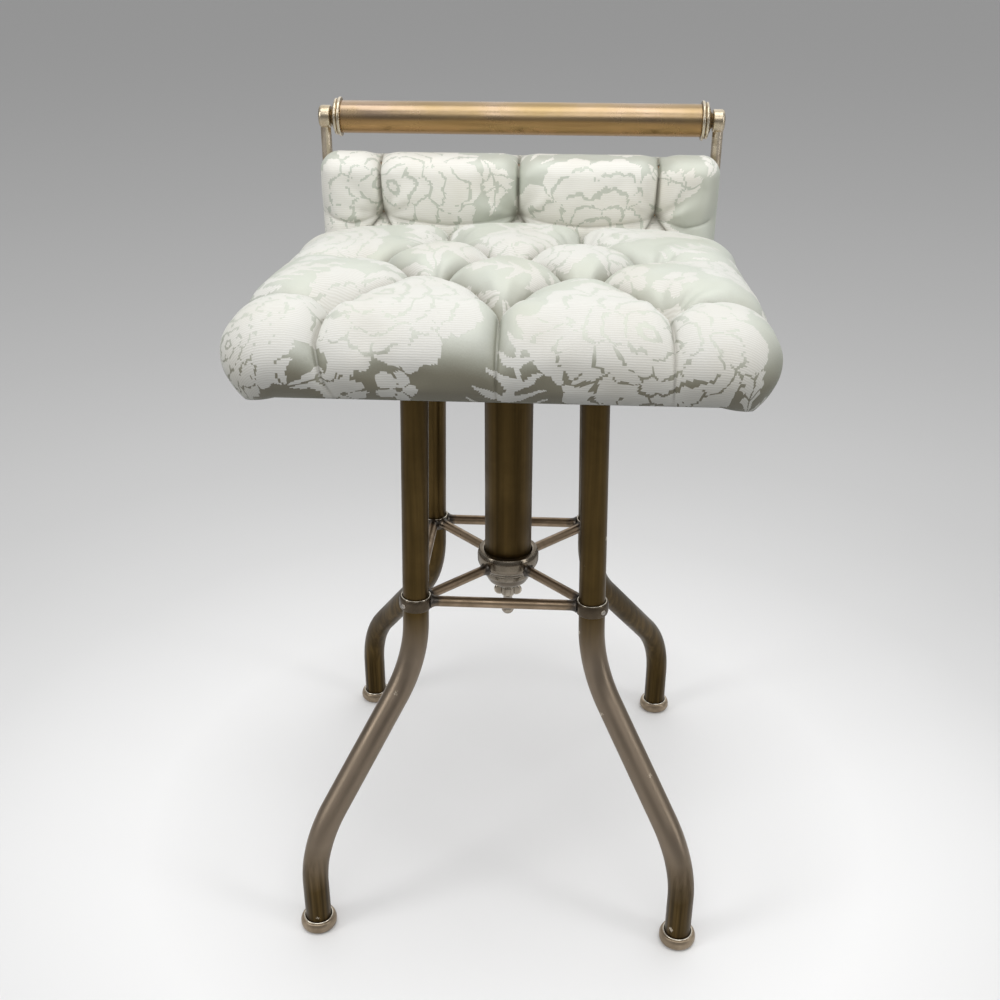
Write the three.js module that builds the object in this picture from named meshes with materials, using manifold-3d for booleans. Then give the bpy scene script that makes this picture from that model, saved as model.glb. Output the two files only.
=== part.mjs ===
// Revolving piano stool with a brass tube base and a tufted seat.
// Millimetres, +Z up, the front of the seat towards -Y.
// The origin is on the floor, straight below the middle of the column.
import * as THREE from 'three';
import { mergeVertices } from 'three/addons/utils/BufferGeometryUtils.js';
import Module from 'manifold-3d';

const wasm = await Module();
wasm.setup();

// Clearances that neighbours share
const touchGap = 0.3; // between pieces that are fixed to each other
const runningGap = 0.4; // round pieces that slide or turn
const cutOverrun = 3; // how far a cutting solid passes the face that it opens

// Facets
const fineSides = 24;
const tubeSides = 16;
const boreSides = 8;
const rodSides = 10;
const bendSteps = 6;

// Legs, from the floor up
const legRadius = 11.1;
const legWall = 1.4;
const legSpacing = 148.6; // between leg axes at the collars
const footSpacingX = 314;
const footSpacingY = 335;
const lowKneeHeight = 87;
const highKneeHeight = 221;
const legBendRadius = 98;
const legTopHeight = 488;
const legLean = 6.5; // inward lean of the leg top past the collar

// Foot rings
const footRingRadius = 15.6;
const footRingHeight = 11.5;
const footRingFloor = 2;
const footRingLip = 1.6;

// Collars, their pins, stretchers and braces
const collarHeight = 279; // middle of the collars above the floor
const collarRadius = 13.9;
const collarDepth = 11;
const collarBevel = 1.2;
const pinRadius = 2.2;
const pinDepth = 1.3;
const stretcherRadius = 4.5;
const braceRadius = 4.3;

// Column and hub
const columnRadius = 20.6;
const columnWall = 1.6;
const hubRadius = 27.3;
const hubDepth = 19.3;
const hubWaistRadius = 24.6;
const hubRim = 3.2;
const hubWeb = 6;
const hubRise = 12.7; // from the level of the rods up to the top of the hub

// Cup, stud, wing nut and ball end under the hub
const cupRadius = 21.7;
const cupDepth = 19;
const cupWall = 3.2;
const cupFootRadius = 10;
const studRadius = 4;
const studHeadRadius = 9;
const studHeadDepth = 4;
const wingNutRadius = 6.4;
const wingNutDepth = 10;
const wingRadius = 5.2;
const wingThickness = 4;
const wingSpan = 25.4;
const wingNutTravel = 8;
const ballRadius = 5.8;
const ballSeatDepth = 6;

// Spider over the leg tops, screw nut, spindle and its guide
const spiderThickness = 6;
const spiderArmWidth = 16;
const spiderPadRadius = 13.5;
const spiderHubRadius = 27;
const spigotLength = 14;
const nutFlangeRadius = 23;
const nutFlangeThickness = 4;
const nutLength = 36; // below the spider's underside
const spindleRadius = 10;
const spindleTenonRadius = 7;
const spindleNeckRadius = 5;
const spindleEndRadius = 8;
const spindleEndDepth = 3.5;
const guideDepth = 14;
const spindleFloorGap = 43.15; // left over the stud when the seat is right down
const restGap = 0.6; // between the seat plate and the nut when the seat is right down

// Seat plate, seat board and their screws
const plateSize = 92;
const plateThickness = 6;
const plateCorner = 10;
const boardInset = 31; // from the cushion's sides to the board's
const boardThickness = 14;
const screwRadius = 2.2;
const screwHeadRadius = 4.4;
const screwHeadDepth = 2.4;
const screwLength = 12;
const plateScrewInset = 12; // from the plate's edges to its screws

// Seat cushion
const seatWidth = 384;
const seatFrontReach = 197; // from the column's axis to the front of the cushion
const seatRollReach = 42; // how far the side roll stands out past the flat of the top
const seatRollDepth = 33; // from the edge of the top down to the widest line
const seatDrawIn = 21; // from the widest line down to the underside
const seatCrown = 8;
const tuftSpacing = 115;
const tuftRowSpacing = 62.5;
const tuftRowShares = [-1.5, -0.5, 0.5, 1.5];
const tuftDepth = 11;
const foldDepth = 12;
const tuftReach = 18;
const foldReach = 15;
const sidePleatDepth = 6;
const undersideLip = 0.8; // the cushion's underside stands this far above the board's
const drawInAngle = Math.PI * 0.22; // how far the roll turns back under its widest line

// Back pad, back board, posts and rail
const padInset = 12.5; // from the seat's sides to the pad's
const handGap = 13.3; // between the pad and the rail
const padThickness = 36;
const padRollReach = 17;
const padDrawIn = 13;
const padCrown = 3;
const padPleatSpacing = 125;
const padTuftDepth = 5;
const padFoldDepth = 5;
const padFoldReach = 12;
const padTuftShare = -0.15; // the tufts' height on the flat of the pad, from its middle
const backBoardThickness = 12;
const backBoardInset = 10; // from the pad's outline to the back board's edge
const postRadius = 4.8;
const postInset = 2.5; // from the pad's sides to the posts' axes
const postBendRadius = 12;
const postFootCover = 49.4; // how far the foot reaches in under the board, past its corner
const postFootWidth = 16;
const postFootThickness = 4;
const postFootPlate = 46;
const postScrewPitch = 26;
const railRadius = 14.2;
const railWall = 1.4;
const railHeight = 632.5;
const railCapRadius = 17.2;
const railCapDepth = 9;
const railNeckRadius = 6.5;
const railNeckLength = 1;
const railSpigot = 12;
const bossRadius = 10;
const bossDepth = 10.8;
const bossDome = 1.6;

// Finishes
const finish = {
  darkBrass: { color: 0x5a4e38, roughness: 0.42, metalness: 0.9 },
  rodBrass: { color: 0x7d6a54, roughness: 0.4, metalness: 0.9 },
  railBrass: { color: 0xb18a5c, roughness: 0.28, metalness: 0.95 },
  ringBrass: { color: 0x94795a, roughness: 0.35, metalness: 0.9 },
  iron: { color: 0x2b2926, roughness: 0.65, metalness: 0.7 },
  steel: { color: 0x77756f, roughness: 0.4, metalness: 0.9 },
  beech: { color: 0xb98f62, roughness: 0.7, metalness: 0 },
  damask: { color: 0xcfcdb9, roughness: 0.75, metalness: 0 },
};

// Solids and cuts
function solidOf(geometry) {
  const bare = geometry.clone();
  bare.deleteAttribute('normal');
  bare.deleteAttribute('uv');
  const merged = mergeVertices(bare);
  const index = merged.index.array;
  const triangles = [];
  for (let i = 0; i < index.length; i += 3) {
    const [a, b, c] = [index[i], index[i + 1], index[i + 2]];
    if (a !== b && b !== c && c !== a) triangles.push(a, b, c);
  }
  const mesh = new wasm.Mesh({
    numProp: 3,
    vertProperties: merged.attributes.position.array,
    triVerts: new Uint32Array(triangles),
  });
  return new wasm.Manifold(mesh);
}

function geometryOf(solid) {
  const mesh = solid.getMesh();
  const geometry = new THREE.BufferGeometry();
  geometry.setAttribute('position', new THREE.BufferAttribute(mesh.vertProperties, 3));
  geometry.setIndex(new THREE.BufferAttribute(mesh.triVerts, 1));
  geometry.computeVertexNormals();
  return geometry;
}

function cut(geometry, ...tools) {
  return geometryOf(tools.reduce((solid, tool) => solid.subtract(solidOf(tool)), solidOf(geometry)));
}

function joined(first, ...others) {
  return geometryOf(others.reduce((solid, other) => solid.add(solidOf(other)), solidOf(first)));
}

// A turned piece about Z: the profile runs anticlockwise as [radius, height] points
function turned(profile, sides = fineSides) {
  const points = profile.map(([radius, height]) => new THREE.Vector2(radius, height));
  return new THREE.LatheGeometry(points, sides).rotateX(Math.PI / 2);
}

function turnedRing(profile, sides = fineSides) {
  return turned([...profile, profile[0]], sides);
}

function disc(radius, low, high, sides = fineSides) {
  return turned([[0, low], [radius, low], [radius, high], [0, high]], sides);
}

function block(sizeX, sizeY, low, high) {
  return new THREE.BoxGeometry(sizeX, sizeY, high - low).translate(0, 0, (low + high) / 2);
}

function roundedPlate(sizeX, sizeY, corner, low, high) {
  const [halfX, halfY] = [sizeX / 2, sizeY / 2];
  const shape = new THREE.Shape();
  shape.absarc(halfX - corner, halfY - corner, corner, 0, Math.PI / 2);
  shape.absarc(corner - halfX, halfY - corner, corner, Math.PI / 2, Math.PI);
  shape.absarc(corner - halfX, corner - halfY, corner, Math.PI, Math.PI * 1.5);
  shape.absarc(halfX - corner, corner - halfY, corner, Math.PI * 1.5, Math.PI * 2);
  shape.closePath();
  const options = { depth: high - low, bevelEnabled: false, curveSegments: 5 };
  return new THREE.ExtrudeGeometry(shape, options).translate(0, 0, low);
}

// A straight round bar from one point to another
function bar(start, end, radius, sides = rodSides) {
  const along = end.clone().sub(start);
  const geometry = new THREE.CylinderGeometry(radius, radius, along.length(), sides);
  const turn = new THREE.Quaternion().setFromUnitVectors(
    new THREE.Vector3(0, 1, 0), along.clone().normalize());
  geometry.applyQuaternion(turn);
  const middle = start.clone().add(end).multiplyScalar(1 / 2);
  return geometry.translate(middle.x, middle.y, middle.z);
}

// A path of straight runs joined by arcs, with steps only where it bends
class BentPath extends THREE.Curve {
  constructor(corners, bendRadius) {
    super();
    this.stations = [];
    const last = corners.length - 1;
    const direction = (i) => corners[i + 1].clone().sub(corners[i]).normalize();
    this.stations.push({ point: corners[0], tangent: direction(0) });
    for (let i = 1; i < last; i += 1) {
      const [before, after] = [direction(i - 1), direction(i)];
      const turn = before.angleTo(after);
      const start = corners[i].clone().addScaledVector(before, -bendRadius * Math.tan(turn / 2));
      const inward = after.clone().addScaledVector(before, -after.dot(before)).normalize();
      for (let step = 0; step <= bendSteps; step += 1) {
        const angle = (turn * step) / bendSteps;
        const point = start.clone()
          .addScaledVector(before, bendRadius * Math.sin(angle))
          .addScaledVector(inward, bendRadius * (1 - Math.cos(angle)));
        const tangent = before.clone().multiplyScalar(Math.cos(angle))
          .addScaledVector(inward, Math.sin(angle));
        this.stations.push({ point, tangent });
      }
    }
    this.stations.push({ point: corners[last], tangent: direction(last - 1) });
  }

  get steps() { return this.stations.length - 1; }

  getPoint(t) { return this.stations[Math.round(t * this.steps)].point.clone(); }

  getPointAt(u) { return this.getPoint(u); }

  getTangentAt(u) { return this.stations[Math.round(u * this.steps)].tangent.clone(); }
}

function circle(radius, sides) {
  return Array.from({ length: sides }, (_, i) => new THREE.Vector2(
    radius * Math.cos((2 * Math.PI * i) / sides), radius * Math.sin((2 * Math.PI * i) / sides)));
}

function bentBar(path, radius, sides, wall = 0) {
  const shape = new THREE.Shape(circle(radius, sides));
  if (wall > 0) shape.holes.push(new THREE.Path(circle(radius - wall, boreSides).reverse()));
  return new THREE.ExtrudeGeometry(shape, { steps: path.steps, extrudePath: path });
}

// Scene and meshes
const stool = new THREE.Group();

function place(name, geometry, look, parent = stool) {
  const mesh = new THREE.Mesh(geometry, new THREE.MeshStandardMaterial({ ...finish[look] }));
  mesh.name = name;
  parent.add(mesh);
  return mesh;
}

// Legs with their foot rings and collars: each in a frame whose +X points out to the foot
const collarReach = legSpacing / 2;
const footOutX = footSpacingX / 2 - collarReach;
const footOutY = footSpacingY / 2 - collarReach;
const footReach = Math.hypot(footOutX, footOutY);
const leanSlope = legLean / (legTopHeight - collarHeight);
const legBase = footRingFloor + touchGap;
const corners = [
  { name: 'front_left', sideX: -1, sideY: -1 },
  { name: 'front_right', sideX: 1, sideY: -1 },
  { name: 'back_right', sideX: 1, sideY: 1 },
  { name: 'back_left', sideX: -1, sideY: 1 },
];

const legPath = new BentPath([
  new THREE.Vector3(footReach, 0, legBase),
  new THREE.Vector3(footReach, 0, lowKneeHeight),
  new THREE.Vector3(leanSlope * (collarHeight - highKneeHeight), 0, highKneeHeight),
  new THREE.Vector3(-legLean, 0, legTopHeight),
], legBendRadius);

const footBulge = footRingRadius - legRadius - touchGap;
const footRingProfile = [
  [0, 0],
  [footRingRadius - footBulge / 2, 0],
  [footRingRadius, footRingHeight / 4],
  [footRingRadius, footRingHeight / 2],
  [footRingRadius - footBulge / 3, footRingHeight - footRingLip],
  [legRadius + touchGap + footRingLip, footRingHeight],
  [legRadius + touchGap, footRingHeight],
  [legRadius + touchGap, footRingFloor],
  [0, footRingFloor],
];

function collarProfile(innerRadius, outerRadius, depth, bevel) {
  return [
    [innerRadius, -depth / 2],
    [outerRadius - bevel, -depth / 2],
    [outerRadius, bevel - depth / 2],
    [outerRadius, depth / 2 - bevel],
    [outerRadius - bevel, depth / 2],
    [innerRadius, depth / 2],
  ];
}

const collarRing = turnedRing(
  collarProfile(legRadius + touchGap, collarRadius, collarDepth, collarBevel));
const collarCutter = disc(collarRadius + touchGap, -collarDepth, collarDepth);
const collarCutters = [];

for (const corner of corners) {
  const frame = new THREE.Group();
  frame.position.set(corner.sideX * collarReach, corner.sideY * collarReach, 0);
  frame.rotation.z = Math.atan2(corner.sideY * footOutY, corner.sideX * footOutX);
  stool.add(frame);
  place(`leg_${corner.name}`, bentBar(legPath, legRadius, tubeSides, legWall), 'darkBrass', frame);
  const ring = place(`foot_ring_${corner.name}`, turned(footRingProfile), 'ringBrass', frame);
  ring.position.x = footReach;
  const collar = place(`collar_${corner.name}`, collarRing.clone(), 'ringBrass', frame);
  collar.position.z = collarHeight;
  collar.rotation.y = -Math.atan(leanSlope);
  frame.updateMatrixWorld(true);
  corner.collarMatrix = collar.matrixWorld.clone();
  corner.top = frame.localToWorld(new THREE.Vector3(-legLean, 0, legTopHeight));
  corner.axis = new THREE.Vector3(-leanSlope, 0, 1).normalize().transformDirection(frame.matrixWorld);
  collarCutters.push(collarCutter.clone().applyMatrix4(corner.collarMatrix));
  place(`collar_pin_${corner.name}`, bar(
    new THREE.Vector3(collarRadius + touchGap, 0, 0),
    new THREE.Vector3(collarRadius + touchGap + pinDepth, 0, 0), pinRadius), 'steel', collar);
}

// Stretchers between neighbouring collars
const stretcherSides = ['front', 'right', 'back', 'left'];
stretcherSides.forEach((side, i) => {
  const [from, to] = [corners[i], corners[(i + 1) % corners.length]].map(({ sideX, sideY }) => (
    new THREE.Vector3(sideX * collarReach, sideY * collarReach, collarHeight)));
  const whole = bar(from, to, stretcherRadius);
  place(`stretcher_${side}`, cut(whole, ...collarCutters), 'rodBrass');
});

// Column, and the hub that holds its foot
const hubTopHeight = collarHeight + hubRise;
const hubBottomHeight = hubTopHeight - hubDepth;
const webTopHeight = hubBottomHeight + hubWeb;
const columnFootHeight = webTopHeight + touchGap;
const columnBore = columnRadius - columnWall;
const spiderBottomHeight = legTopHeight + legRadius * leanSlope + touchGap;
const spiderTopHeight = spiderBottomHeight + spiderThickness;
const columnTopHeight = spiderBottomHeight - touchGap;

place('column', turnedRing([
  [columnBore, columnFootHeight],
  [columnRadius, columnFootHeight],
  [columnRadius, columnTopHeight],
  [columnBore, columnTopHeight],
]), 'darkBrass');

const studHole = studRadius + touchGap;
place('hub', turnedRing([
  [studHole, hubBottomHeight],
  [hubWaistRadius - hubRim, hubBottomHeight],
  [hubWaistRadius, hubBottomHeight + hubRim],
  [hubWaistRadius, hubTopHeight - hubDepth / 2],
  [hubRadius, hubTopHeight - hubRim * 2],
  [hubRadius, hubTopHeight - hubRim / 2],
  [hubRadius - hubRim / 2, hubTopHeight],
  [columnRadius + touchGap, hubTopHeight],
  [columnRadius + touchGap, webTopHeight],
  [studHole, webTopHeight],
]), 'darkBrass');

// Braces from the collars to the hub
const hubCutter = disc(hubRadius + touchGap, hubBottomHeight - cutOverrun, hubTopHeight + cutOverrun);
for (const { name, sideX, sideY } of corners) {
  const collarPoint = new THREE.Vector3(sideX * collarReach, sideY * collarReach, collarHeight);
  const whole = bar(collarPoint, new THREE.Vector3(0, 0, collarHeight), braceRadius);
  place(`brace_${name}`, cut(whole, hubCutter, ...collarCutters), 'rodBrass');
}

// Stud, cup, wing nut and ball end below the hub
const cupTopHeight = hubBottomHeight - touchGap;
const cupBottomHeight = cupTopHeight - cupDepth;
const wingNutTopHeight = cupBottomHeight - touchGap;
const wingNutBottomHeight = wingNutTopHeight - wingNutDepth;
const ballTopHeight = wingNutBottomHeight - wingNutTravel - runningGap;
const ballMiddleHeight = ballTopHeight - ballRadius;
const studHeadHeight = webTopHeight + touchGap;

place('stud', turned([
  [0, ballTopHeight - ballSeatDepth],
  [studRadius, ballTopHeight - ballSeatDepth],
  [studRadius, studHeadHeight],
  [studHeadRadius, studHeadHeight],
  [studHeadRadius, studHeadHeight + studHeadDepth],
  [0, studHeadHeight + studHeadDepth],
]), 'steel');

const slideBore = studRadius + runningGap;
place('cup', turnedRing([
  [slideBore, cupBottomHeight],
  [cupFootRadius - cupWall / 2, cupBottomHeight],
  [cupFootRadius, cupBottomHeight + cupWall / 2],
  [cupFootRadius + cupWall, cupBottomHeight + cupWall],
  [cupRadius - cupWall, cupBottomHeight + cupDepth / 2],
  [cupRadius - cupWall, cupTopHeight - cupWall * 2],
  [cupRadius, cupTopHeight - cupWall],
  [cupRadius, cupTopHeight],
  [cupRadius - cupWall * 2, cupTopHeight],
  [cupRadius - cupWall * 2, cupBottomHeight + cupDepth / 2],
  [slideBore, cupBottomHeight + cupDepth / 2],
]), 'darkBrass');

const wingReach = wingSpan / 2 - wingRadius;
const wingHeight = (wingNutTopHeight + wingNutBottomHeight) / 2;
const wings = [-1, 1].map((side) => bar(
  new THREE.Vector3(side * wingReach, -wingThickness / 2, wingHeight),
  new THREE.Vector3(side * wingReach, wingThickness / 2, wingHeight), wingRadius, tubeSides));
place('wing_nut', cut(
  joined(disc(wingNutRadius, wingNutBottomHeight, wingNutTopHeight, tubeSides), ...wings),
  disc(slideBore, wingNutBottomHeight - cutOverrun, wingNutTopHeight + cutOverrun, tubeSides),
), 'darkBrass');

const ball = new THREE.SphereGeometry(ballRadius, tubeSides, tubeSides / 2)
  .rotateX(Math.PI / 2).translate(0, 0, ballMiddleHeight);
place('ball_end', cut(ball, disc(
  studRadius + touchGap, ballTopHeight - ballSeatDepth - touchGap, ballTopHeight + cutOverrun,
  tubeSides)), 'darkBrass');

// Spider: arms from the column's head to a spigot in each leg top
const spiderArms = [];
for (const { top, axis } of corners) {
  const reach = Math.hypot(top.x, top.y);
  const arm = block(reach, spiderArmWidth, spiderBottomHeight, spiderTopHeight)
    .translate(reach / 2, 0, 0).rotateZ(Math.atan2(top.y, top.x));
  const pad = disc(spiderPadRadius, spiderBottomHeight, spiderTopHeight, tubeSides)
    .translate(top.x, top.y, 0);
  const spigotFoot = top.clone().addScaledVector(axis, -spigotLength);
  const spigotHead = top.clone().addScaledVector(axis, spiderThickness / 2);
  const spigotRadius = (legRadius - legWall) * Math.cos(Math.PI / boreSides) - touchGap;
  spiderArms.push(arm, pad, bar(spigotFoot, spigotHead, spigotRadius, boreSides));
}
place('top_spider', cut(
  joined(disc(spiderHubRadius, spiderBottomHeight, spiderTopHeight), ...spiderArms),
  disc(columnBore, spiderBottomHeight - cutOverrun, spiderTopHeight + cutOverrun),
), 'iron');

// Screw nut in the head of the column
const nutRadius = columnBore * Math.cos(Math.PI / fineSides) - touchGap;
const nutBore = spindleRadius + runningGap;
const nutBottomHeight = spiderBottomHeight - nutLength;
const nutTopHeight = spiderTopHeight + touchGap + nutFlangeThickness;
place('screw_nut', turnedRing([
  [nutBore, nutBottomHeight],
  [nutRadius, nutBottomHeight],
  [nutRadius, spiderTopHeight + touchGap],
  [nutFlangeRadius, spiderTopHeight + touchGap],
  [nutFlangeRadius, nutTopHeight],
  [nutBore, nutTopHeight],
]), 'iron');

// Guide that slides in the column round the spindle's neck
const spindleEndHeight = studHeadHeight + studHeadDepth + spindleFloorGap;
const spindleEndTop = spindleEndHeight + spindleEndDepth;
const guideBottomHeight = spindleEndTop + touchGap;
const guideTopHeight = guideBottomHeight + guideDepth;
const guideRadius = columnBore * Math.cos(Math.PI / fineSides) - runningGap;
place('spindle_guide', turnedRing([
  [spindleNeckRadius + runningGap, guideBottomHeight],
  [guideRadius, guideBottomHeight],
  [guideRadius, guideTopHeight],
  [spindleNeckRadius + runningGap, guideTopHeight],
]), 'iron');

// Spindle, riveted over below the guide and above the seat plate
const plateBottomHeight = nutTopHeight + restGap;
const plateTopHeight = plateBottomHeight + plateThickness;
place('spindle', turned([
  [0, spindleEndHeight],
  [spindleEndRadius, spindleEndHeight],
  [spindleEndRadius, spindleEndTop],
  [spindleNeckRadius, spindleEndTop],
  [spindleNeckRadius, guideTopHeight + touchGap],
  [spindleRadius, guideTopHeight + touchGap],
  [spindleRadius, plateBottomHeight - touchGap],
  [spindleTenonRadius, plateBottomHeight - touchGap],
  [spindleTenonRadius, plateTopHeight],
  [0, plateTopHeight],
]), 'steel');

// Seat plate, screwed up into the seat board
const screwSpots = [[-1, -1], [1, -1], [1, 1], [-1, 1]].map(([x, y]) => (
  [x * (plateSize / 2 - plateScrewInset), y * (plateSize / 2 - plateScrewInset)]));

function screwHole(x, y, low, high) {
  return disc(screwRadius + touchGap, low - cutOverrun, high + cutOverrun, boreSides)
    .translate(x, y, 0);
}

function woodScrew(x, y, headHeight) {
  return turned([
    [0, headHeight - screwHeadDepth],
    [screwHeadRadius / 2, headHeight - screwHeadDepth],
    [screwHeadRadius, headHeight - screwHeadDepth / 2],
    [screwHeadRadius, headHeight],
    [screwRadius, headHeight],
    [screwRadius, headHeight + screwLength],
    [0, headHeight + screwLength],
  ], boreSides).translate(x, y, 0);
}

place('seat_plate', cut(
  roundedPlate(plateSize, plateSize, plateCorner, plateBottomHeight, plateTopHeight),
  disc(spindleTenonRadius + touchGap, plateBottomHeight - cutOverrun, plateTopHeight + cutOverrun),
  ...screwSpots.map(([x, y]) => screwHole(x, y, plateBottomHeight, plateTopHeight)),
), 'iron');
screwSpots.forEach(([x, y], i) => {
  place(`plate_screw_${i + 1}`, woodScrew(x, y, plateBottomHeight - touchGap), 'steel');
});

// Widths of the upholstered parts, from the seat inwards
const boardWidth = seatWidth - 2 * boardInset;
const padWidth = seatWidth - 2 * padInset;
const postSpacing = padWidth - 2 * postInset;
const padTopHeight = railHeight - railRadius - handGap;

// Places along Y, from the back of the stool forwards
const railReach = seatFrontReach - railCapRadius;
const padBack = railReach - postRadius - touchGap;
const padFront = padBack - padThickness;
const cushionBack = padFront - padCrown;
const boardBottomHeight = plateTopHeight + touchGap;
const backBoardFront = padBack - backBoardThickness;
const boardFront = boardInset - seatFrontReach;
const boardBack = backBoardFront - touchGap;
const boardLength = boardBack - boardFront;
const boardMiddle = (boardBack + boardFront) / 2;

function seatBoardShape(margin) {
  return new THREE.BoxGeometry(
    boardWidth + 2 * margin, boardLength + 2 * margin, boardThickness + 2 * margin)
    .translate(0, boardMiddle, boardBottomHeight + boardThickness / 2);
}

// Posts: down behind the pad, then bent in under the corner of the seat board
const postFootHeight = boardBottomHeight - touchGap - postRadius;
const postScrewSpots = [];
const postFeet = [-1, 1].map((side) => {
  const root = new THREE.Vector3(side * postSpacing / 2, railReach, postFootHeight);
  const inward = new THREE.Vector3(-side, -1, 0).normalize();
  const runToSide = (postSpacing - boardWidth) / 2 / Math.abs(inward.x);
  const runToBack = (railReach - boardBack) / Math.abs(inward.y);
  const footRun = Math.max(runToSide, runToBack) + postFootCover;
  const tip = root.clone().addScaledVector(inward, footRun);
  const plateMiddle = tip.clone().addScaledVector(inward, -postFootPlate / 2);
  for (const step of [-1 / 2, 1 / 2]) {
    const spot = plateMiddle.clone().addScaledVector(inward, step * postScrewPitch);
    postScrewSpots.push([spot.x, spot.y]);
  }
  return { side, root, tip, plateMiddle, inward };
});
const footPlateTop = boardBottomHeight - touchGap;
const footPlateBottom = footPlateTop - postFootThickness;

// Rail bosses
const bossProfile = [
  [0, -bossDepth / 2],
  [bossRadius, -bossDepth / 2],
  [bossRadius, bossDepth / 2 - bossDome],
  [bossRadius - bossDome, bossDepth / 2],
  [0, bossDepth / 2],
];
const bossCutter = disc(bossRadius + touchGap, -bossDepth, bossDepth);

function alongRail(geometry, side, distance) {
  return geometry.rotateY(side * Math.PI / 2).translate(side * distance, railReach, railHeight);
}

const postMeshes = postFeet.map(({ side, root, tip, plateMiddle, inward }) => {
  const path = new BentPath([
    new THREE.Vector3(root.x, root.y, railHeight),
    root,
    tip.clone().addScaledVector(inward, -postFootPlate),
  ], postBendRadius);
  const plate = block(postFootPlate + postRadius, postFootWidth, footPlateBottom, footPlateTop)
    .rotateZ(Math.atan2(inward.y, inward.x)).translate(plateMiddle.x, plateMiddle.y, 0);
  const holes = postScrewSpots.map(([x, y]) => screwHole(x, y, footPlateBottom, footPlateTop));
  const boss = alongRail(bossCutter.clone(), side, postSpacing / 2);
  return cut(joined(bentBar(path, postRadius, rodSides), plate), boss, ...holes);
});
place('post_left', postMeshes[0], 'railBrass');
place('post_right', postMeshes[1], 'railBrass');
postScrewSpots.forEach(([x, y], i) => {
  place(`post_screw_${i + 1}`, woodScrew(x, y, footPlateBottom - touchGap), 'steel');
});

place('seat_board', cut(
  seatBoardShape(0),
  ...[...screwSpots, ...postScrewSpots].map(([x, y]) => (
    screwHole(x, y, boardBottomHeight, footPlateBottom + screwLength))),
), 'beech');

// Rail tube with a turned cap and a boss at each end
const bossInner = postSpacing / 2 - bossDepth / 2;
const railLength = 2 * (bossInner - railNeckLength - railCapDepth - 2 * touchGap);
place('rail', alongRail(turnedRing([
  [railRadius - railWall, -railLength / 2],
  [railRadius, -railLength / 2],
  [railRadius, railLength / 2],
  [railRadius - railWall, railLength / 2],
]), 1, 0), 'railBrass');

const capInner = bossInner - touchGap - railNeckLength - railCapDepth;
const spigotInner = capInner - railSpigot;
const spigotRadius = (railRadius - railWall) * Math.cos(Math.PI / fineSides) - touchGap;
// Shares of the cap's depth, with the share of its radius that each is cut in by
const capBeadShares = [[0, 0.12], [0.14, 0.06], [0.3, 0.15], [0.5, 0], [0.64, 0], [0.8, 0.15]];
const capProfile = [
  [0, spigotInner],
  [spigotRadius, spigotInner],
  [spigotRadius, capInner],
  ...capBeadShares.map(([along, dip]) => (
    [railCapRadius * (1 - dip), capInner + railCapDepth * along])),
  [railNeckRadius, bossInner - touchGap],
  [0, bossInner - touchGap],
];
for (const [side, name] of [[-1, 'left'], [1, 'right']]) {
  place(`rail_cap_${name}`, alongRail(turned(capProfile), side, 0), 'railBrass');
  place(`rail_boss_${name}`, alongRail(turned(bossProfile), side, postSpacing / 2), 'railBrass');
}

// Back board, standing behind the seat board
const backBoardWidth = padWidth - 2 * backBoardInset;
const backBoardTop = padTopHeight - backBoardInset;

function backBoardShape(margin) {
  return new THREE.BoxGeometry(
    backBoardWidth + 2 * margin,
    backBoardThickness + 2 * margin,
    backBoardTop - boardBottomHeight + 2 * margin,
  ).translate(0, padBack - backBoardThickness / 2, (backBoardTop + boardBottomHeight) / 2);
}

const backScrewShares = [-0.35, 0, 0.35];
const backScrewHeight = boardBottomHeight + boardThickness / 2;
const backHoles = [];
backScrewShares.forEach((share, i) => {
  const hole = disc(screwRadius + touchGap, -cutOverrun, screwLength + cutOverrun, boreSides);
  backHoles.push(hole.rotateX(Math.PI / 2).translate(share * boardWidth, padBack, backScrewHeight));
  place(`back_screw_${i + 1}`, woodScrew(0, 0, 0).rotateX(Math.PI / 2)
    .translate(share * boardWidth, padBack + touchGap, backScrewHeight), 'steel');
});
place('back_board', cut(backBoardShape(0), ...backHoles), 'beech');

// A tufted cushion: its top faces +Z and its flat underside is at height 0.
// Grid lines run through the tufts on the flat of the top, and rings of cells go down the
// roll at the sides. Creases are pressed in along the surface's own direction.
function gridLines(stops, counts, rollCells) {
  const lines = [];
  for (let i = 0; i < rollCells; i += 1) lines.push({ at: stops[0], over: i - rollCells });
  counts.forEach((count, i) => {
    for (let step = 0; step < count; step += 1) {
      lines.push({ at: stops[i] + ((stops[i + 1] - stops[i]) * step) / count, over: 0 });
    }
  });
  for (let i = 0; i <= rollCells; i += 1) lines.push({ at: stops[stops.length - 1], over: i });
  return lines;
}

function distanceToCrease(x, y, { from, to }) {
  const [dx, dy] = [to[0] - from[0], to[1] - from[1]];
  const run = ((x - from[0]) * dx + (y - from[1]) * dy) / (dx * dx + dy * dy || 1);
  const along = Math.min(1, Math.max(0, run));
  return Math.hypot(x - from[0] - along * dx, y - from[1] - along * dy);
}

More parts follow.
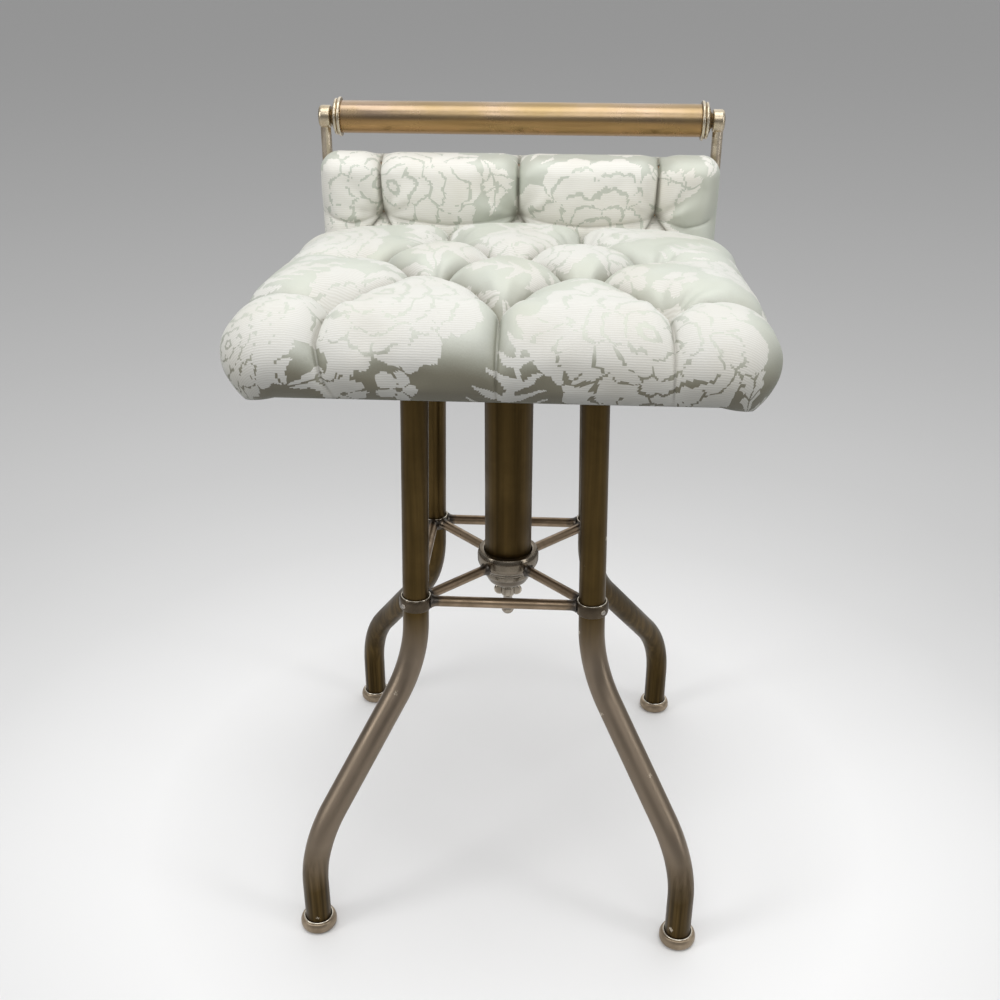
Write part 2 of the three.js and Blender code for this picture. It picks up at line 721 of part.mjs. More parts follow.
function tuftedCushion(form) {
  const { stopsX, countsX, stopsY, countsY, rollCells, rollReach, rollDepth, drawIn } = form;
  const { crown, tufts, folds, pleats } = form;
  const sideLength = (rollReach + rollDepth) * Math.PI / 4 + drawIn;
  const halfX = stopsX[stopsX.length - 1] + rollReach;
  const halfY = stopsY[stopsY.length - 1] + rollReach;

  const pressed = (x, y) => {
    const deepest = (list, depth, reach) => Math.max(0, ...list.map((crease) => (
      depth * Math.exp(-distanceToCrease(x, y, crease) / reach))));
    return deepest(tufts, form.tuftDepth, form.tuftReach)
      + Math.max(deepest(folds, form.foldDepth, form.foldReach),
        deepest(pleats(sideLength), form.pleatDepth, form.foldReach));
  };

  const surface = (lineX, lineY) => {
    const [overX, overY] = [Math.abs(lineX.over), Math.abs(lineY.over)];
    const ring = Math.max(overX, overY) / rollCells;
    const slant = overX >= overY
      ? ((overY / (overX || 1)) * Math.PI) / 4
      : Math.PI / 2 - ((overX / overY) * Math.PI) / 4;
    const outX = ring > 0 ? Math.sign(lineX.over) * Math.cos(slant) : 0;
    const outY = ring > 0 ? Math.sign(lineY.over) * Math.sin(slant) : 0;
    const angle = Math.PI / 2 - ring * (Math.PI / 2 + drawInAngle);
    const out = rollReach * Math.cos(angle);
    const below = drawIn * (1 + Math.sin(angle) / Math.sin(drawInAngle));
    const high = angle > 0 ? drawIn + rollDepth * Math.sin(angle) : below;
    const [x, y] = [lineX.at + outX * out, lineY.at + outY * out];
    const domed = crown * (1 - (lineX.at / halfX) ** 2) * (1 - (lineY.at / halfY) ** 2);
    const sunk = (1 - ring ** 4) * pressed(
      lineX.at + outX * ring * sideLength, lineY.at + outY * ring * sideLength);
    return [
      x - outX * sunk * Math.cos(angle),
      y - outY * sunk * Math.cos(angle),
      ring < 1 ? high + domed * (1 - ring) - sunk * Math.max(0, Math.sin(angle)) : 0,
    ];
  };

  const across = gridLines(stopsX, countsX, rollCells);
  const away = gridLines(stopsY, countsY, rollCells);
  const positions = away.flatMap((lineY) => across.flatMap((lineX) => surface(lineX, lineY)));
  const [columns, rows] = [across.length, away.length];
  const heightOf = (point) => positions[point * 3 + 2];
  const index = [];
  for (let j = 0; j + 1 < rows; j += 1) {
    for (let i = 0; i + 1 < columns; i += 1) {
      const [a, b] = [j * columns + i, j * columns + i + 1];
      const [c, d] = [b + columns, a + columns];
      const atCorner = across[i].over * away[j].over !== 0 || across[i + 1].over * away[j + 1].over !== 0;
      const outward = (i < columns / 2) === (j < rows / 2);
      const creased = heightOf(a) + heightOf(c) < heightOf(b) + heightOf(d);
      if (atCorner ? outward : creased) index.push(a, b, c, a, c, d);
      else index.push(a, b, d, b, c, d);
    }
  }
  const edge = [];
  for (let i = 0; i + 1 < columns; i += 1) edge.push(i);
  for (let j = 0; j + 1 < rows; j += 1) edge.push(j * columns + columns - 1);
  for (let i = columns - 1; i > 0; i -= 1) edge.push((rows - 1) * columns + i);
  for (let j = rows - 1; j > 0; j -= 1) edge.push(j * columns);
  const centre = positions.length / 3;
  positions.push(0, 0, 0);
  edge.forEach((corner, i) => index.push(edge[(i + 1) % edge.length], corner, centre));
  const geometry = new THREE.BufferGeometry();
  geometry.setAttribute('position', new THREE.Float32BufferAttribute(positions, 3));
  geometry.setIndex(index);
  return geometry;
}

// Seat cushion: three and two tufts in alternate rows, with folds between neighbours
const cushionLength = seatFrontReach + cushionBack;
const cushionMiddle = (cushionBack - seatFrontReach) / 2;
const cushionHeight = boardBottomHeight + undersideLip;
const flatX = seatWidth / 2 - seatRollReach;
const flatY = cushionLength / 2 - seatRollReach;
const rowHeights = tuftRowShares.map((share) => share * tuftRowSpacing);
const seatTufts = rowHeights.flatMap((y, row) => (
  row % 2 === 0 ? [-1, 0, 1] : [-1 / 2, 1 / 2]).map((share) => [share * tuftSpacing, y]));
const isNeighbour = ([x0, y0], [x1, y1]) => (
  y1 > y0 && y1 - y0 < 2 * tuftRowSpacing && Math.abs(x1 - x0) < tuftSpacing);
const seatFolds = seatTufts.flatMap((from) => (
  seatTufts.filter((to) => isNeighbour(from, to)).map((to) => ({ from, to }))));

function seatPleats(sideLength) {
  const [first, last] = [rowHeights[0], rowHeights[rowHeights.length - 1]];
  return seatTufts.flatMap(([x, y]) => {
    const lines = [];
    if (y === first) lines.push({ from: [x, y], to: [x, -flatY - sideLength] });
    if (y === last) lines.push({ from: [x, y], to: [x, flatY + sideLength] });
    if (Math.abs(x) === tuftSpacing) {
      lines.push({ from: [x, y], to: [Math.sign(x) * (flatX + sideLength), y] });
    }
    return lines;
  });
}

const seatCushion = tuftedCushion({
  stopsX: [-flatX, -tuftSpacing, tuftSpacing, flatX],
  countsX: [2, 16, 2],
  stopsY: [-flatY, ...rowHeights, flatY],
  countsY: [2, 4, 4, 4, 2],
  rollCells: 5,
  rollReach: seatRollReach,
  rollDepth: seatRollDepth,
  drawIn: seatDrawIn,
  crown: seatCrown,
  tufts: seatTufts.map((spot) => ({ from: spot, to: spot })),
  folds: seatFolds,
  pleats: seatPleats,
  tuftDepth,
  tuftReach,
  foldDepth,
  foldReach,
  pleatDepth: sidePleatDepth,
}).translate(0, cushionMiddle, cushionHeight);
place('seat_cushion', cut(seatCushion, seatBoardShape(touchGap)), 'damask');

// Back pad: one row of tufts, with pleats over the top edge and folds down to the seat
const padLength = padTopHeight - cushionHeight;
const padMiddle = (padTopHeight + cushionHeight) / 2;
const padFlatX = padWidth / 2 - padRollReach;
const padFlatY = padLength / 2 - padRollReach;
const padTuftHeight = padFlatY * padTuftShare;
const padTufts = [-1, 0, 1].map((share) => [share * padPleatSpacing, padTuftHeight]);
const padFoldRun = padPleatSpacing / 2;

const backPad = tuftedCushion({
  stopsX: [-padFlatX, ...padTufts.map(([x]) => x), padFlatX],
  countsX: [3, 7, 7, 3],
  stopsY: [-padFlatY, padTuftHeight, padFlatY],
  countsY: [3, 4],
  rollCells: 4,
  rollReach: padRollReach,
  rollDepth: padThickness - padDrawIn,
  drawIn: padDrawIn,
  crown: padCrown,
  tufts: padTufts.map((spot) => ({ from: spot, to: spot })),
  folds: padTufts.flatMap(([x, y]) => [-1, 1].map((side) => (
    { from: [x, y], to: [x + side * padFoldRun, y - padFoldRun] }))),
  pleats: (sideLength) => padTufts.map(([x, y]) => (
    { from: [x, y], to: [x, padFlatY + sideLength] })),
  tuftDepth: padTuftDepth,
  tuftReach: padFoldReach,
  foldDepth: padFoldDepth,
  foldReach: padFoldReach,
  pleatDepth: padFoldDepth,
}).rotateX(Math.PI / 2).translate(0, padBack, padMiddle);
place('back_pad', cut(backPad, backBoardShape(touchGap), seatBoardShape(touchGap)), 'damask');

export default stool;
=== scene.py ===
# %% [markdown]
# # A revolving piano stool
# Four bent brass tubes stand round a column. A screw inside the column carries the seat, which
# turns, and rises as it turns. The seat and its low back are deeply tufted in a woven damask,
# and a thick brass rail stands behind the back on two slim posts.
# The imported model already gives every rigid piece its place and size. The pieces below are made
# to those sizes again, finer, and each one stands for its counterpart in the frame.

# %% Load the frame
import functools
import math

import bpy
import numpy as np
from mathutils import Matrix, Vector, geometry, noise


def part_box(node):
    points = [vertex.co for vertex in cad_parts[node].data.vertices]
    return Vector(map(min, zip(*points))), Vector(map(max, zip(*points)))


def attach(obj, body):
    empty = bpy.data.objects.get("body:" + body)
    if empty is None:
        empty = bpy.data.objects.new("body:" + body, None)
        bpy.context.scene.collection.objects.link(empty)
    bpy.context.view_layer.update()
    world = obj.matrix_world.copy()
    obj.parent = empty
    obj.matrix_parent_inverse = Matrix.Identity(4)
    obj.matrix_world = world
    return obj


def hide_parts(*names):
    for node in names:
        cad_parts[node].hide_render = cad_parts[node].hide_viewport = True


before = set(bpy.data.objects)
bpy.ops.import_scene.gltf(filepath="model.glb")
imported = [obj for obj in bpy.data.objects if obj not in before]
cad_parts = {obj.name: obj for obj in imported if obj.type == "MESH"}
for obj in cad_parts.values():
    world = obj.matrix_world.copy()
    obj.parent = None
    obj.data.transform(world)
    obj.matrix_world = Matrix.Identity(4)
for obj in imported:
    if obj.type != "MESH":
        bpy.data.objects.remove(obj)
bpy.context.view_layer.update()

# %% [markdown]
# ## Camera
# The photograph looks slightly down on the stool, from a little right of its middle. A camera
# could be pointed with a Track To constraint, but its roll matters too, so its three axes are
# worked out from a heading, a pitch and a roll, and go straight into its matrix.

# %% Place the camera
camera_place = Vector((0.0435, -0.9191, 0.8029))
camera_heading = math.radians(-3.170)
camera_pitch = math.radians(26.767)
camera_roll = math.radians(0.152)
focal_share = 1.1771  # focal length as a share of the sensor's width
sensor_width = 36.0


def camera_axes(heading, pitch, roll):
    ahead = Vector((math.sin(heading) * math.cos(pitch), math.cos(heading) * math.cos(pitch),
                    -math.sin(pitch)))
    level = Vector((math.cos(heading), -math.sin(heading), 0))
    above = level.cross(ahead)
    right = level * math.cos(roll) + above * math.sin(roll)
    return right, right.cross(ahead), -ahead


def add_object(name, data):
    thing = bpy.data.objects.new(name, data)
    bpy.context.scene.collection.objects.link(thing)
    return thing


camera_data = bpy.data.cameras.new("camera")
camera_data.sensor_width = sensor_width
camera_data.lens = focal_share * sensor_width
camera = add_object("camera", camera_data)
turn = Matrix(camera_axes(camera_heading, camera_pitch, camera_roll)).transposed()
camera.matrix_world = Matrix.Translation(camera_place) @ turn.to_4x4()
bpy.context.scene.camera = camera
bpy.context.scene.view_settings.view_transform = "Standard"
print("camera lens", round(camera_data.lens, 2), "mm")

# %% [markdown]
# ## Node helpers
# Every finish below is built from shader nodes. Written out in full, one node takes five or six
# lines, so a small helper makes a node, sets its inputs, and links what it is handed. Each kind
# of sum has a helper of its own, so that a mask can be read as a sentence.


# %% Shader helpers
def add_node(tree, kind, inputs=None, **settings):
    node = tree.nodes.new(kind)
    for key, value in settings.items():
        setattr(node, key, value)
    for key, value in (inputs or {}).items():
        feed(value, node.inputs[key])
    return node


def feed(value, socket):
    """Links what comes from a node, and sets what is a plain value."""
    if isinstance(value, bpy.types.NodeSocket):
        socket.id_data.links.new(value, socket)
    else:
        socket.default_value = value


def tree_of(*values):
    """The node tree that the values come from. Plain numbers come from none."""
    return next(value.id_data for value in values if isinstance(value, bpy.types.NodeSocket))


def maths(operation):
    """A helper for one kind of sum, so that a long sum can be written in words."""
    def work_out(*values):
        node = add_node(tree_of(*values), "ShaderNodeMath", operation=operation)
        for value, socket in zip(values, node.inputs):
            feed(value, socket)
        return node.outputs[0]
    return work_out


plus, minus, times, divided, times_plus, raised = map(maths, (
    "ADD", "SUBTRACT", "MULTIPLY", "DIVIDE", "MULTIPLY_ADD", "POWER"))
higher, lower, less_than, more_than = map(maths, ("MAXIMUM", "MINIMUM", "LESS_THAN", "GREATER_THAN"))
size_of, whole, fraction, sine, cosine, angle_of = map(maths, (
    "ABSOLUTE", "ROUND", "FRACT", "SINE", "COSINE", "ARCTAN2"))


def vector_maths(operation, *places):
    """The same for places. A length, a distance and a dot product come out as numbers."""
    node = add_node(tree_of(*places), "ShaderNodeVectorMath", dict(enumerate(places)),
                    operation=operation)
    return node.outputs["Value" if operation in ("LENGTH", "DISTANCE", "DOT_PRODUCT") else "Vector"]


def axes(place):
    return tuple(add_node(tree_of(place), "ShaderNodeSeparateXYZ", {0: place}).outputs)


def place_at(x, y):
    return add_node(tree_of(x, y), "ShaderNodeCombineXYZ", {0: x, 1: y}).outputs[0]


def noise_node(place, scale, detail=2.0, output="Fac", **more):
    return add_node(tree_of(place), "ShaderNodeTexNoise", {
        "Vector": place, "Scale": scale, "Detail": detail, **more}).outputs[output]


def ramp(factor, stops, interpolation="LINEAR"):
    node = add_node(tree_of(factor), "ShaderNodeValToRGB", {"Fac": factor})
    node.color_ramp.interpolation = interpolation
    elements = node.color_ramp.elements
    while len(elements) < len(stops):
        elements.new(0.5)
    for element, (place, value) in zip(elements, stops):
        element.position = place
        element.color = (value, value, value, 1) if isinstance(value, float) else (*value, 1)
    return node.outputs["Color"]


def mix_colour(factor, first, second, blend="MIX"):
    node = add_node(tree_of(factor, first, second), "ShaderNodeMix", data_type="RGBA", blend_type=blend)
    feed(factor, node.inputs[0])
    for value, socket in ((first, node.inputs[6]), (second, node.inputs[7])):
        feed(value if isinstance(value, bpy.types.NodeSocket) else (*value, 1), socket)
    return node.outputs[2]


def remap(value, *span):
    """Runs a value from low to high over to new_low to new_high, and holds it there."""
    ends = dict(zip(("From Min", "From Max", "To Min", "To Max"), span))
    return add_node(tree_of(value), "ShaderNodeMapRange", {"Value": value, **ends}).outputs["Result"]


def bump_node(height, strength, distance):
    return add_node(tree_of(height), "ShaderNodeBump", {
        "Height": height, "Strength": strength, "Distance": distance}).outputs["Normal"]


def new_group(name, inputs, outputs):
    group = bpy.data.node_groups.new(name, "ShaderNodeTree")
    kinds = {"value": "NodeSocketFloat", "colour": "NodeSocketColor", "vector": "NodeSocketVector"}
    for title, kind, *default in inputs:
        socket = group.interface.new_socket(title, in_out="INPUT", socket_type=kinds[kind])
        if default:
            socket.default_value = default[0]
    for title, kind in outputs:
        group.interface.new_socket(title, in_out="OUTPUT", socket_type=kinds[kind])
    return group, group.nodes.new("NodeGroupInput"), group.nodes.new("NodeGroupOutput")


def use_group(group, inputs):
    return add_node(tree_of(*inputs.values()), "ShaderNodeGroup", inputs, node_tree=group)


def new_material(name):
    material = bpy.data.materials.new(name)
    material.use_nodes = True
    tree = material.node_tree
    return material, tree, tree.nodes["Principled BSDF"]


# %% [markdown]
# ## Floor
# The photograph's backdrop runs from near white in front to a mid grey far behind. One big plane
# is enough, because the camera looks down and never sees past it. Its colour fades with the
# distance from the stool, so it looks the same from every side and still takes the shadow. Very
# far out it darkens to the tone of the world's horizon, so that no edge shows there.
# White paper that near would also throw light up under the seat, which the photograph doesn't
# show. So light that bounces off it softly finds it darker, and the eye and the metal see it pale.

# %% Make the floor
floor_reach = 40.0
fade_distance = 1.5  # where the fade has gone half way
floor_tones = [(0.19, 0.85), (0.235, 0.752), (0.28, 0.655), (0.33, 0.59), (0.37, 0.55), (0.40, 0.532),
               (0.44, 0.505), (0.50, 0.472), (0.57, 0.45), (0.66, 0.437), (0.90, 0.432), (0.955, 0.235)]

floor_mesh = bpy.data.meshes.new("floor")
floor_corners = [(x * floor_reach, y * floor_reach, 0) for x, y in ((-1, -1), (1, -1), (1, 1), (-1, 1))]
floor_mesh.from_pydata(floor_corners, [], [(0, 1, 2, 3)])
add_object("floor", floor_mesh)

paper, tree, shader = new_material("backdrop_paper")
place = add_node(tree, "ShaderNodeTexCoord").outputs["Object"]
away = vector_maths("LENGTH", place)
share = divided(away, plus(away, fade_distance))
seen = add_node(tree, "ShaderNodeLightPath").outputs
seen_plainly = higher(seen["Is Camera Ray"], higher(seen["Is Glossy Ray"], seen["Is Transmission Ray"]))
tone = mix_colour(seen_plainly, (0.22, 0.22, 0.22), ramp(share, floor_tones))
feed(tone, shader.inputs["Base Color"])
shader.inputs["Roughness"].default_value = 0.9
shader.inputs["Specular IOR Level"].default_value = 0.1
floor_mesh.materials.append(paper)
print("floor", 2 * floor_reach, "m wide")

# %% [markdown]
# ## Light
# Old brass only looks like brass when it has something to mirror: a bright patch, a dark one and
# a soft step between them. The world is a dome, bright overhead, darker at the horizon, with a
# broad glow behind the stool that lights the satin. A panel overhead and one on each side put
# streaks on the tubes, and a weak one above the camera lights the front of the cushions.

# %% Set the world and the panels
world = bpy.data.worlds.new("studio")
bpy.context.scene.world = world
world.use_nodes = True
tree = world.node_tree
direction = add_node(tree, "ShaderNodeTexCoord").outputs["Generated"]
window_side = Vector((0.12, 0.80, 0.62)).normalized()
dome = ramp(remap(axes(direction)[2], -1.0, 1.0, 0.0, 1.0),
            [(0.0, 0.24), (0.49, 0.22), (0.58, 0.27), (0.78, 0.62), (1.0, 0.85)])
glow = ramp(vector_maths("DOT_PRODUCT", direction, window_side),
            [(0.60, 0.0), (0.82, 0.65), (0.95, 1.0)], "EASE")
feed(mix_colour(1.0, dome, glow, blend="ADD"), tree.nodes["Background"].inputs["Color"])
tree.nodes["Background"].inputs["Strength"].default_value = 0.72


def add_panel(name, place, aim, width, height, power):
    data = bpy.data.lights.new(name, "AREA")
    data.shape, data.size, data.size_y, data.energy = "RECTANGLE", width, height, power
    panel = add_object(name, data)
    panel.location = place
    panel.rotation_euler = (Vector(aim) - Vector(place)).to_track_quat("-Z", "Y").to_euler()


add_panel("overhead", (0.1, -0.6, 4.2), (0, 0, 0.5), 3.6, 2.6, 66)
add_panel("over_camera", (0.2, -2.1, 2.5), (0, 0, 0.3), 2.0, 1.1, 13)
add_panel("left_panel", (-2.1, -1.2, 1.6), (0, 0, 0.4), 0.8, 1.8, 16)
add_panel("right_panel", (2.0, -0.9, 1.2), (0, 0, 0.4), 0.5, 1.8, 9)

# %% [markdown]
# ## Mesh helpers
# Nearly every metal piece here was turned on a lathe or bent from tube. So two helpers do most of
# the work: one spins an outline round an axis, the other sweeps a circle along a path. Both
# return plain points and faces. A third puts a piece into the scene, on its moving body.


# %% Turned and swept shapes
def rounded(outline, radius, steps=4):
    """Softens each inner corner of an outline of (radius, height) points."""
    points = [outline[0]]
    for before, corner, after in zip(outline, outline[1:], outline[2:]):
        b, c, a = Vector(before), Vector(corner), Vector(after)
        cut_in = min(radius, (b - c).length * 0.45, (a - c).length * 0.45)
        start, end = c + (b - c).normalized() * cut_in, c + (a - c).normalized() * cut_in
        for i in range(steps + 1):
            t = i / steps
            points.append(tuple(start * (1 - t) ** 2 + c * 2 * t * (1 - t) + end * t ** 2))
    return points + [outline[-1]]


def spokes(sides):
    """The directions from the middle of a circle to each of its points."""
    turns = [2 * math.pi * i / sides for i in range(sides)]
    return [(math.cos(turn), math.sin(turn)) for turn in turns]


def turned(outline, sides=64, ring=False):
    """Spins an outline round Z. A ring's outline closes on itself, any other ends on the axis."""
    points, faces, rows = [], [], []
    for radius, height in outline:
        if radius < 1e-6:
            rows.append([len(points)])
            points.append((0, 0, height))
        else:
            rows.append(list(range(len(points), len(points) + sides)))
            points += [(radius * x, radius * y, height) for x, y in spokes(sides)]
    pairs = list(zip(rows, rows[1:])) + ([(rows[-1], rows[0])] if ring else [])
    for low, high in pairs:
        for i in range(sides):
            j = (i + 1) % sides
            corners = [low[i % len(low)], low[j % len(low)], high[j % len(high)], high[i % len(high)]]
            faces.append(tuple(dict.fromkeys(corners)))
    return points, faces


def bands(points, sides):
    """The faces between rings of points that lie one behind the other."""
    return [(start + i, start + j, start + j + sides, start + i + sides)
            for start in range(0, len(points) - sides, sides)
            for i, j in zip(range(sides), [*range(1, sides), 0])]


def capped(points, sides):
    """The same, with a face over each end."""
    last = len(points)
    return bands(points, sides) + [tuple(range(sides))[::-1], tuple(range(last - sides, last))]


def swept(path, radius, sides=32):
    """A closed round bar along a path. radius is a number, or one number for each point."""
    path = [Vector(p) for p in path]
    radii = [radius] * len(path) if isinstance(radius, float) else radius
    ahead = [(after - before).normalized()
             for before, after in zip(path[:1] + path, path[1:] + path[-1:])]
    across = ahead[0].orthogonal().normalized()
    points = []
    for centre, way, size in zip(path, ahead, radii):
        across = (across - way * across.dot(way)).normalized()
        up = way.cross(across)
        points += [tuple(centre + (across * x + up * y) * size) for x, y in spokes(sides)]
    return points, capped(points, sides)


def bent_path(corners, bend, steps=14):
    """Straight runs between corners, with an arc of one radius at each inner corner."""
    corners = [Vector(c) for c in corners]
    path = [corners[0]]
    for before, corner, after in zip(corners, corners[1:], corners[2:]):
        into, out = (before - corner).normalized(), (after - corner).normalized()
        half = into.angle(out) / 2
        run = bend / math.tan(half)
        middle = corner + (into + out).normalized() * (bend / math.sin(half))
        start = (corner + into * run - middle).normalized()
        end = (corner + out * run - middle).normalized()
        path += [middle + start.slerp(end, i / steps) * bend for i in range(steps + 1)]
    return path + [corners[-1]]


def upright_to(way):
    """The turn that brings what was made round Z into another direction."""
    return Vector((0, 0, 1)).rotation_difference(Vector(way)).to_matrix().to_4x4()


def moved(shape, matrix):
    points, faces = shape
    return [tuple(matrix @ Vector(p)) for p in points], faces


def joined(*shapes):
    points, faces = [], []
    for more_points, more_faces in shapes:
        faces += [tuple(i + len(points) for i in face) for face in more_faces]
        points += more_points
    return points, faces


def add_piece(name, shape, body, nodes, material, sharp=38):
    points, faces = shape
    mesh = bpy.data.meshes.new(name)
    mesh.from_pydata(points, [], faces)
    mesh.validate()
    mesh.shade_smooth()
    mesh.set_sharp_from_angle(angle=math.radians(sharp))
    mesh.materials.append(material)
    piece = add_object(name, mesh)
    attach(piece, body)
    if nodes:
        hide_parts(*nodes)
    return piece


# %% [markdown]
# ## Aged brass
# The stool is lacquered brass gone dark: cloudy brown tarnish with streaks, fine pits, and pale
# metal where hands and floors have worn the edges, painted paler still as a highlight along them.
# All the brass pieces share those effects at different strengths, so each effect is a node group,
# built once. The rods add the grey smoke that the torch left beside each soldered joint. The legs
# add a painted sheen on the front of their lower bends, a darker tone low down and behind, and a
# few chips, and the rail gets a painted reflection on its lower half.
# A painted texture would do as well, but noise in the object's own space needs no unwrapping
# and runs on without a seam from one piece to the next.

# %% Build the tarnish, wear and painted light groups
tarnish_group, group_in, group_out = new_group(
    "tarnish",
    [("Place", "vector"), ("Cloud scale", "value", 28.0), ("Streak scale", "vector", (9.0, 9.0, 9.0)),
     ("Pit scale", "value", 420.0)],
    [("Cloud", "value"), ("Streak", "value"), ("Pits", "value"), ("Height", "value")])
place = group_in.outputs["Place"]
streaks = vector_maths("MULTIPLY", place, group_in.outputs["Streak scale"])
cloud = noise_node(place, group_in.outputs["Cloud scale"], 5.0, Roughness=0.62, Distortion=0.4)
streak = noise_node(streaks, 1.0, 4.0, Roughness=0.55)
pit_cells = add_node(tarnish_group, "ShaderNodeTexVoronoi", {
    "Vector": place, "Scale": group_in.outputs["Pit scale"]})
pit_dots = remap(pit_cells.outputs["Distance"], 0.10, 0.22, 1.0, 0.0)
pits = times(pit_dots, remap(noise_node(place, 55.0), 0.52, 0.66, 0.0, 1.0))
for name, value in (("Cloud", remap(cloud, 0.34, 0.66, 0.0, 1.0)),
                    ("Streak", remap(streak, 0.36, 0.64, 0.0, 1.0)), ("Pits", pits),
                    ("Height", minus(noise_node(place, 75.0, 3.0), times(pits, 0.35)))):
    feed(value, group_out.inputs[name])

edge_wear_and_highlight_group, group_in, group_out = new_group(
    "worn_and_highlit_edges", [("Place", "vector"), ("Start", "value", 0.51), ("End", "value", 0.56)],
    [("Worn and highlit", "value")])
# Pale edges: partly wear, and partly a painted highlight along the rims.
edge = add_node(edge_wear_and_highlight_group, "ShaderNodeNewGeometry").outputs["Pointiness"]
patchy = noise_node(group_in.outputs["Place"], 130.0, 3.0)
worn_and_highlit = remap(edge, group_in.outputs["Start"], group_in.outputs["End"], 0.0, 1.0)
feed(times(worn_and_highlit, remap(patchy, 0.3, 0.55, 0.35, 1.0)), group_out.inputs["Worn and highlit"])

collar_reach = 0.0743  # from the middle of the stool to a leg's axis, at the collars
collar_radius, hub_radius = 0.0139, 0.0273

smoke_group, group_in, group_out = new_group("torch_smoke", [("Place", "vector")], [("Smoke", "value")])
place = group_in.outputs["Place"]
level = vector_maths("MULTIPLY", vector_maths("ABSOLUTE", place), (1, 1, 0))
from_collar = minus(vector_maths("DISTANCE", level, (collar_reach, collar_reach, 0)), collar_radius)
near_joint = lower(from_collar, minus(vector_maths("LENGTH", level), hub_radius))
ragged = times_plus(noise_node(place, 190.0, 3.0), -0.016, near_joint)
feed(remap(ragged, -0.006, 0.000, 0.9, 0.0), group_out.inputs["Smoke"])

sheen_and_wear_group, group_in, group_out = new_group(
    "painted_sheen_and_wear", [("Place", "vector")],
    [("Painted sheen", "value"), ("Darker low and behind", "value"), ("Chipped", "value")])
place = group_in.outputs["Place"]
_, side_y, side_z = axes(place)
height = times_plus(noise_node(place, 21.0), 0.03, side_z)
in_front = remap(side_y, -0.03, -0.07, 0.0, 1.0)
# Painted sheen: a lighter band on the front of the lower bends.
band = times(remap(height, 0.065, 0.11, 0.0, 1.0), remap(height, 0.24, 0.29, 1.0, 0.0))
feed(times(band, in_front), group_out.inputs["Painted sheen"])
# Darker low down, and behind the front below the collars.
behind = times(remap(height, 0.24, 0.29, 0.45, 0.0), remap(in_front, 0.0, 1.0, 1.0, 0.0))
feed(higher(remap(height, 0.06, 0.10, 1.0, 0.0), behind), group_out.inputs["Darker low and behind"])
chips = add_node(sheen_and_wear_group, "ShaderNodeTexVoronoi", {"Vector": place, "Scale": 46.0})
chip_size = times_plus(noise_node(place, 900.0), 0.30, chips.outputs["Distance"])
lucky = axes(chips.outputs["Color"])[0]
feed(times(less_than(chip_size, 0.225), more_than(lucky, 0.84)), group_out.inputs["Chipped"])


def aged_metal(name, bright, dull, dark, roughness, worn_and_highlit=(0.9, 0.8, 0.66), edge_wear_and_highlight=0.6, pitting=0.6,
               cloud_scale=28.0, streak_scale=(9.0, 9.0, 9.0), streak_share=0.35, relief=0.12,
               edge_span=(0.51, 0.57), metallic=0.92, smoked=False, painted_underside_reflection=None, painted_sheen=None):
    """One metal with cloudy tarnish, streaks, pits and pale edges, each at its own strength.
    The pale edges are partly wear and partly a painted highlight.
    """
    material, tree, shader = new_material(name)
    place = add_node(tree, "ShaderNodeTexCoord").outputs["Object"]
    marks = use_group(tarnish_group, {
        "Place": place, "Cloud scale": cloud_scale, "Streak scale": streak_scale}).outputs
    edges = use_group(edge_wear_and_highlight_group, {"Place": place, "Start": edge_span[0], "End": edge_span[1]}).outputs
    tone = mix_colour(marks["Cloud"], bright, dull)
    tone = mix_colour(times(marks["Streak"], streak_share), tone, dark)
    tone = mix_colour(times(marks["Pits"], pitting), tone, dark)
    # A painted sheen on the front of the lower bends, then a darker tone low down and behind, then
    # chips of bare metal.
    if painted_sheen:
        sheen_and_wear = use_group(sheen_and_wear_group, {"Place": place}).outputs
        darker_low_and_behind = times(sheen_and_wear["Darker low and behind"], marks["Streak"])
        tone = mix_colour(sheen_and_wear["Painted sheen"], tone, painted_sheen)
        tone = mix_colour(darker_low_and_behind, tone, dark)
        tone = mix_colour(sheen_and_wear["Chipped"], tone, worn_and_highlit)
    if smoked:
        smoke = use_group(smoke_group, {"Place": place}).outputs["Smoke"]
        tone = mix_colour(smoke, tone, (0.060, 0.057, 0.054))
    # Painted reflection: the lower half, where the normal turns down, gets a darker, more orange tone.
    if painted_underside_reflection:
        facing = axes(add_node(tree, "ShaderNodeNewGeometry").outputs["Normal"])[2]
        wavering = times_plus(marks["Streak"], 0.16, facing)
        tone = mix_colour(remap(wavering, 0.02, 0.34, 0.92, 0.0), tone, painted_underside_reflection)
    # Pale edges, partly wear and partly a painted highlight.
    edge_wear_and_highlight_mask = times(edges["Worn and highlit"], edge_wear_and_highlight)
    feed(mix_colour(edge_wear_and_highlight_mask, tone, worn_and_highlit), shader.inputs["Base Color"])
    rough = remap(marks["Cloud"], 0.0, 1.0, roughness * 0.8, roughness * 1.3)
    feed(minus(rough, times(edge_wear_and_highlight_mask, 0.1)), shader.inputs["Roughness"])
    shader.inputs["Metallic"].default_value = metallic
    feed(bump_node(marks["Height"], relief, 0.0006), shader.inputs["Normal"])
    return material


print("shared effects:", [group.name for group in bpy.data.node_groups])

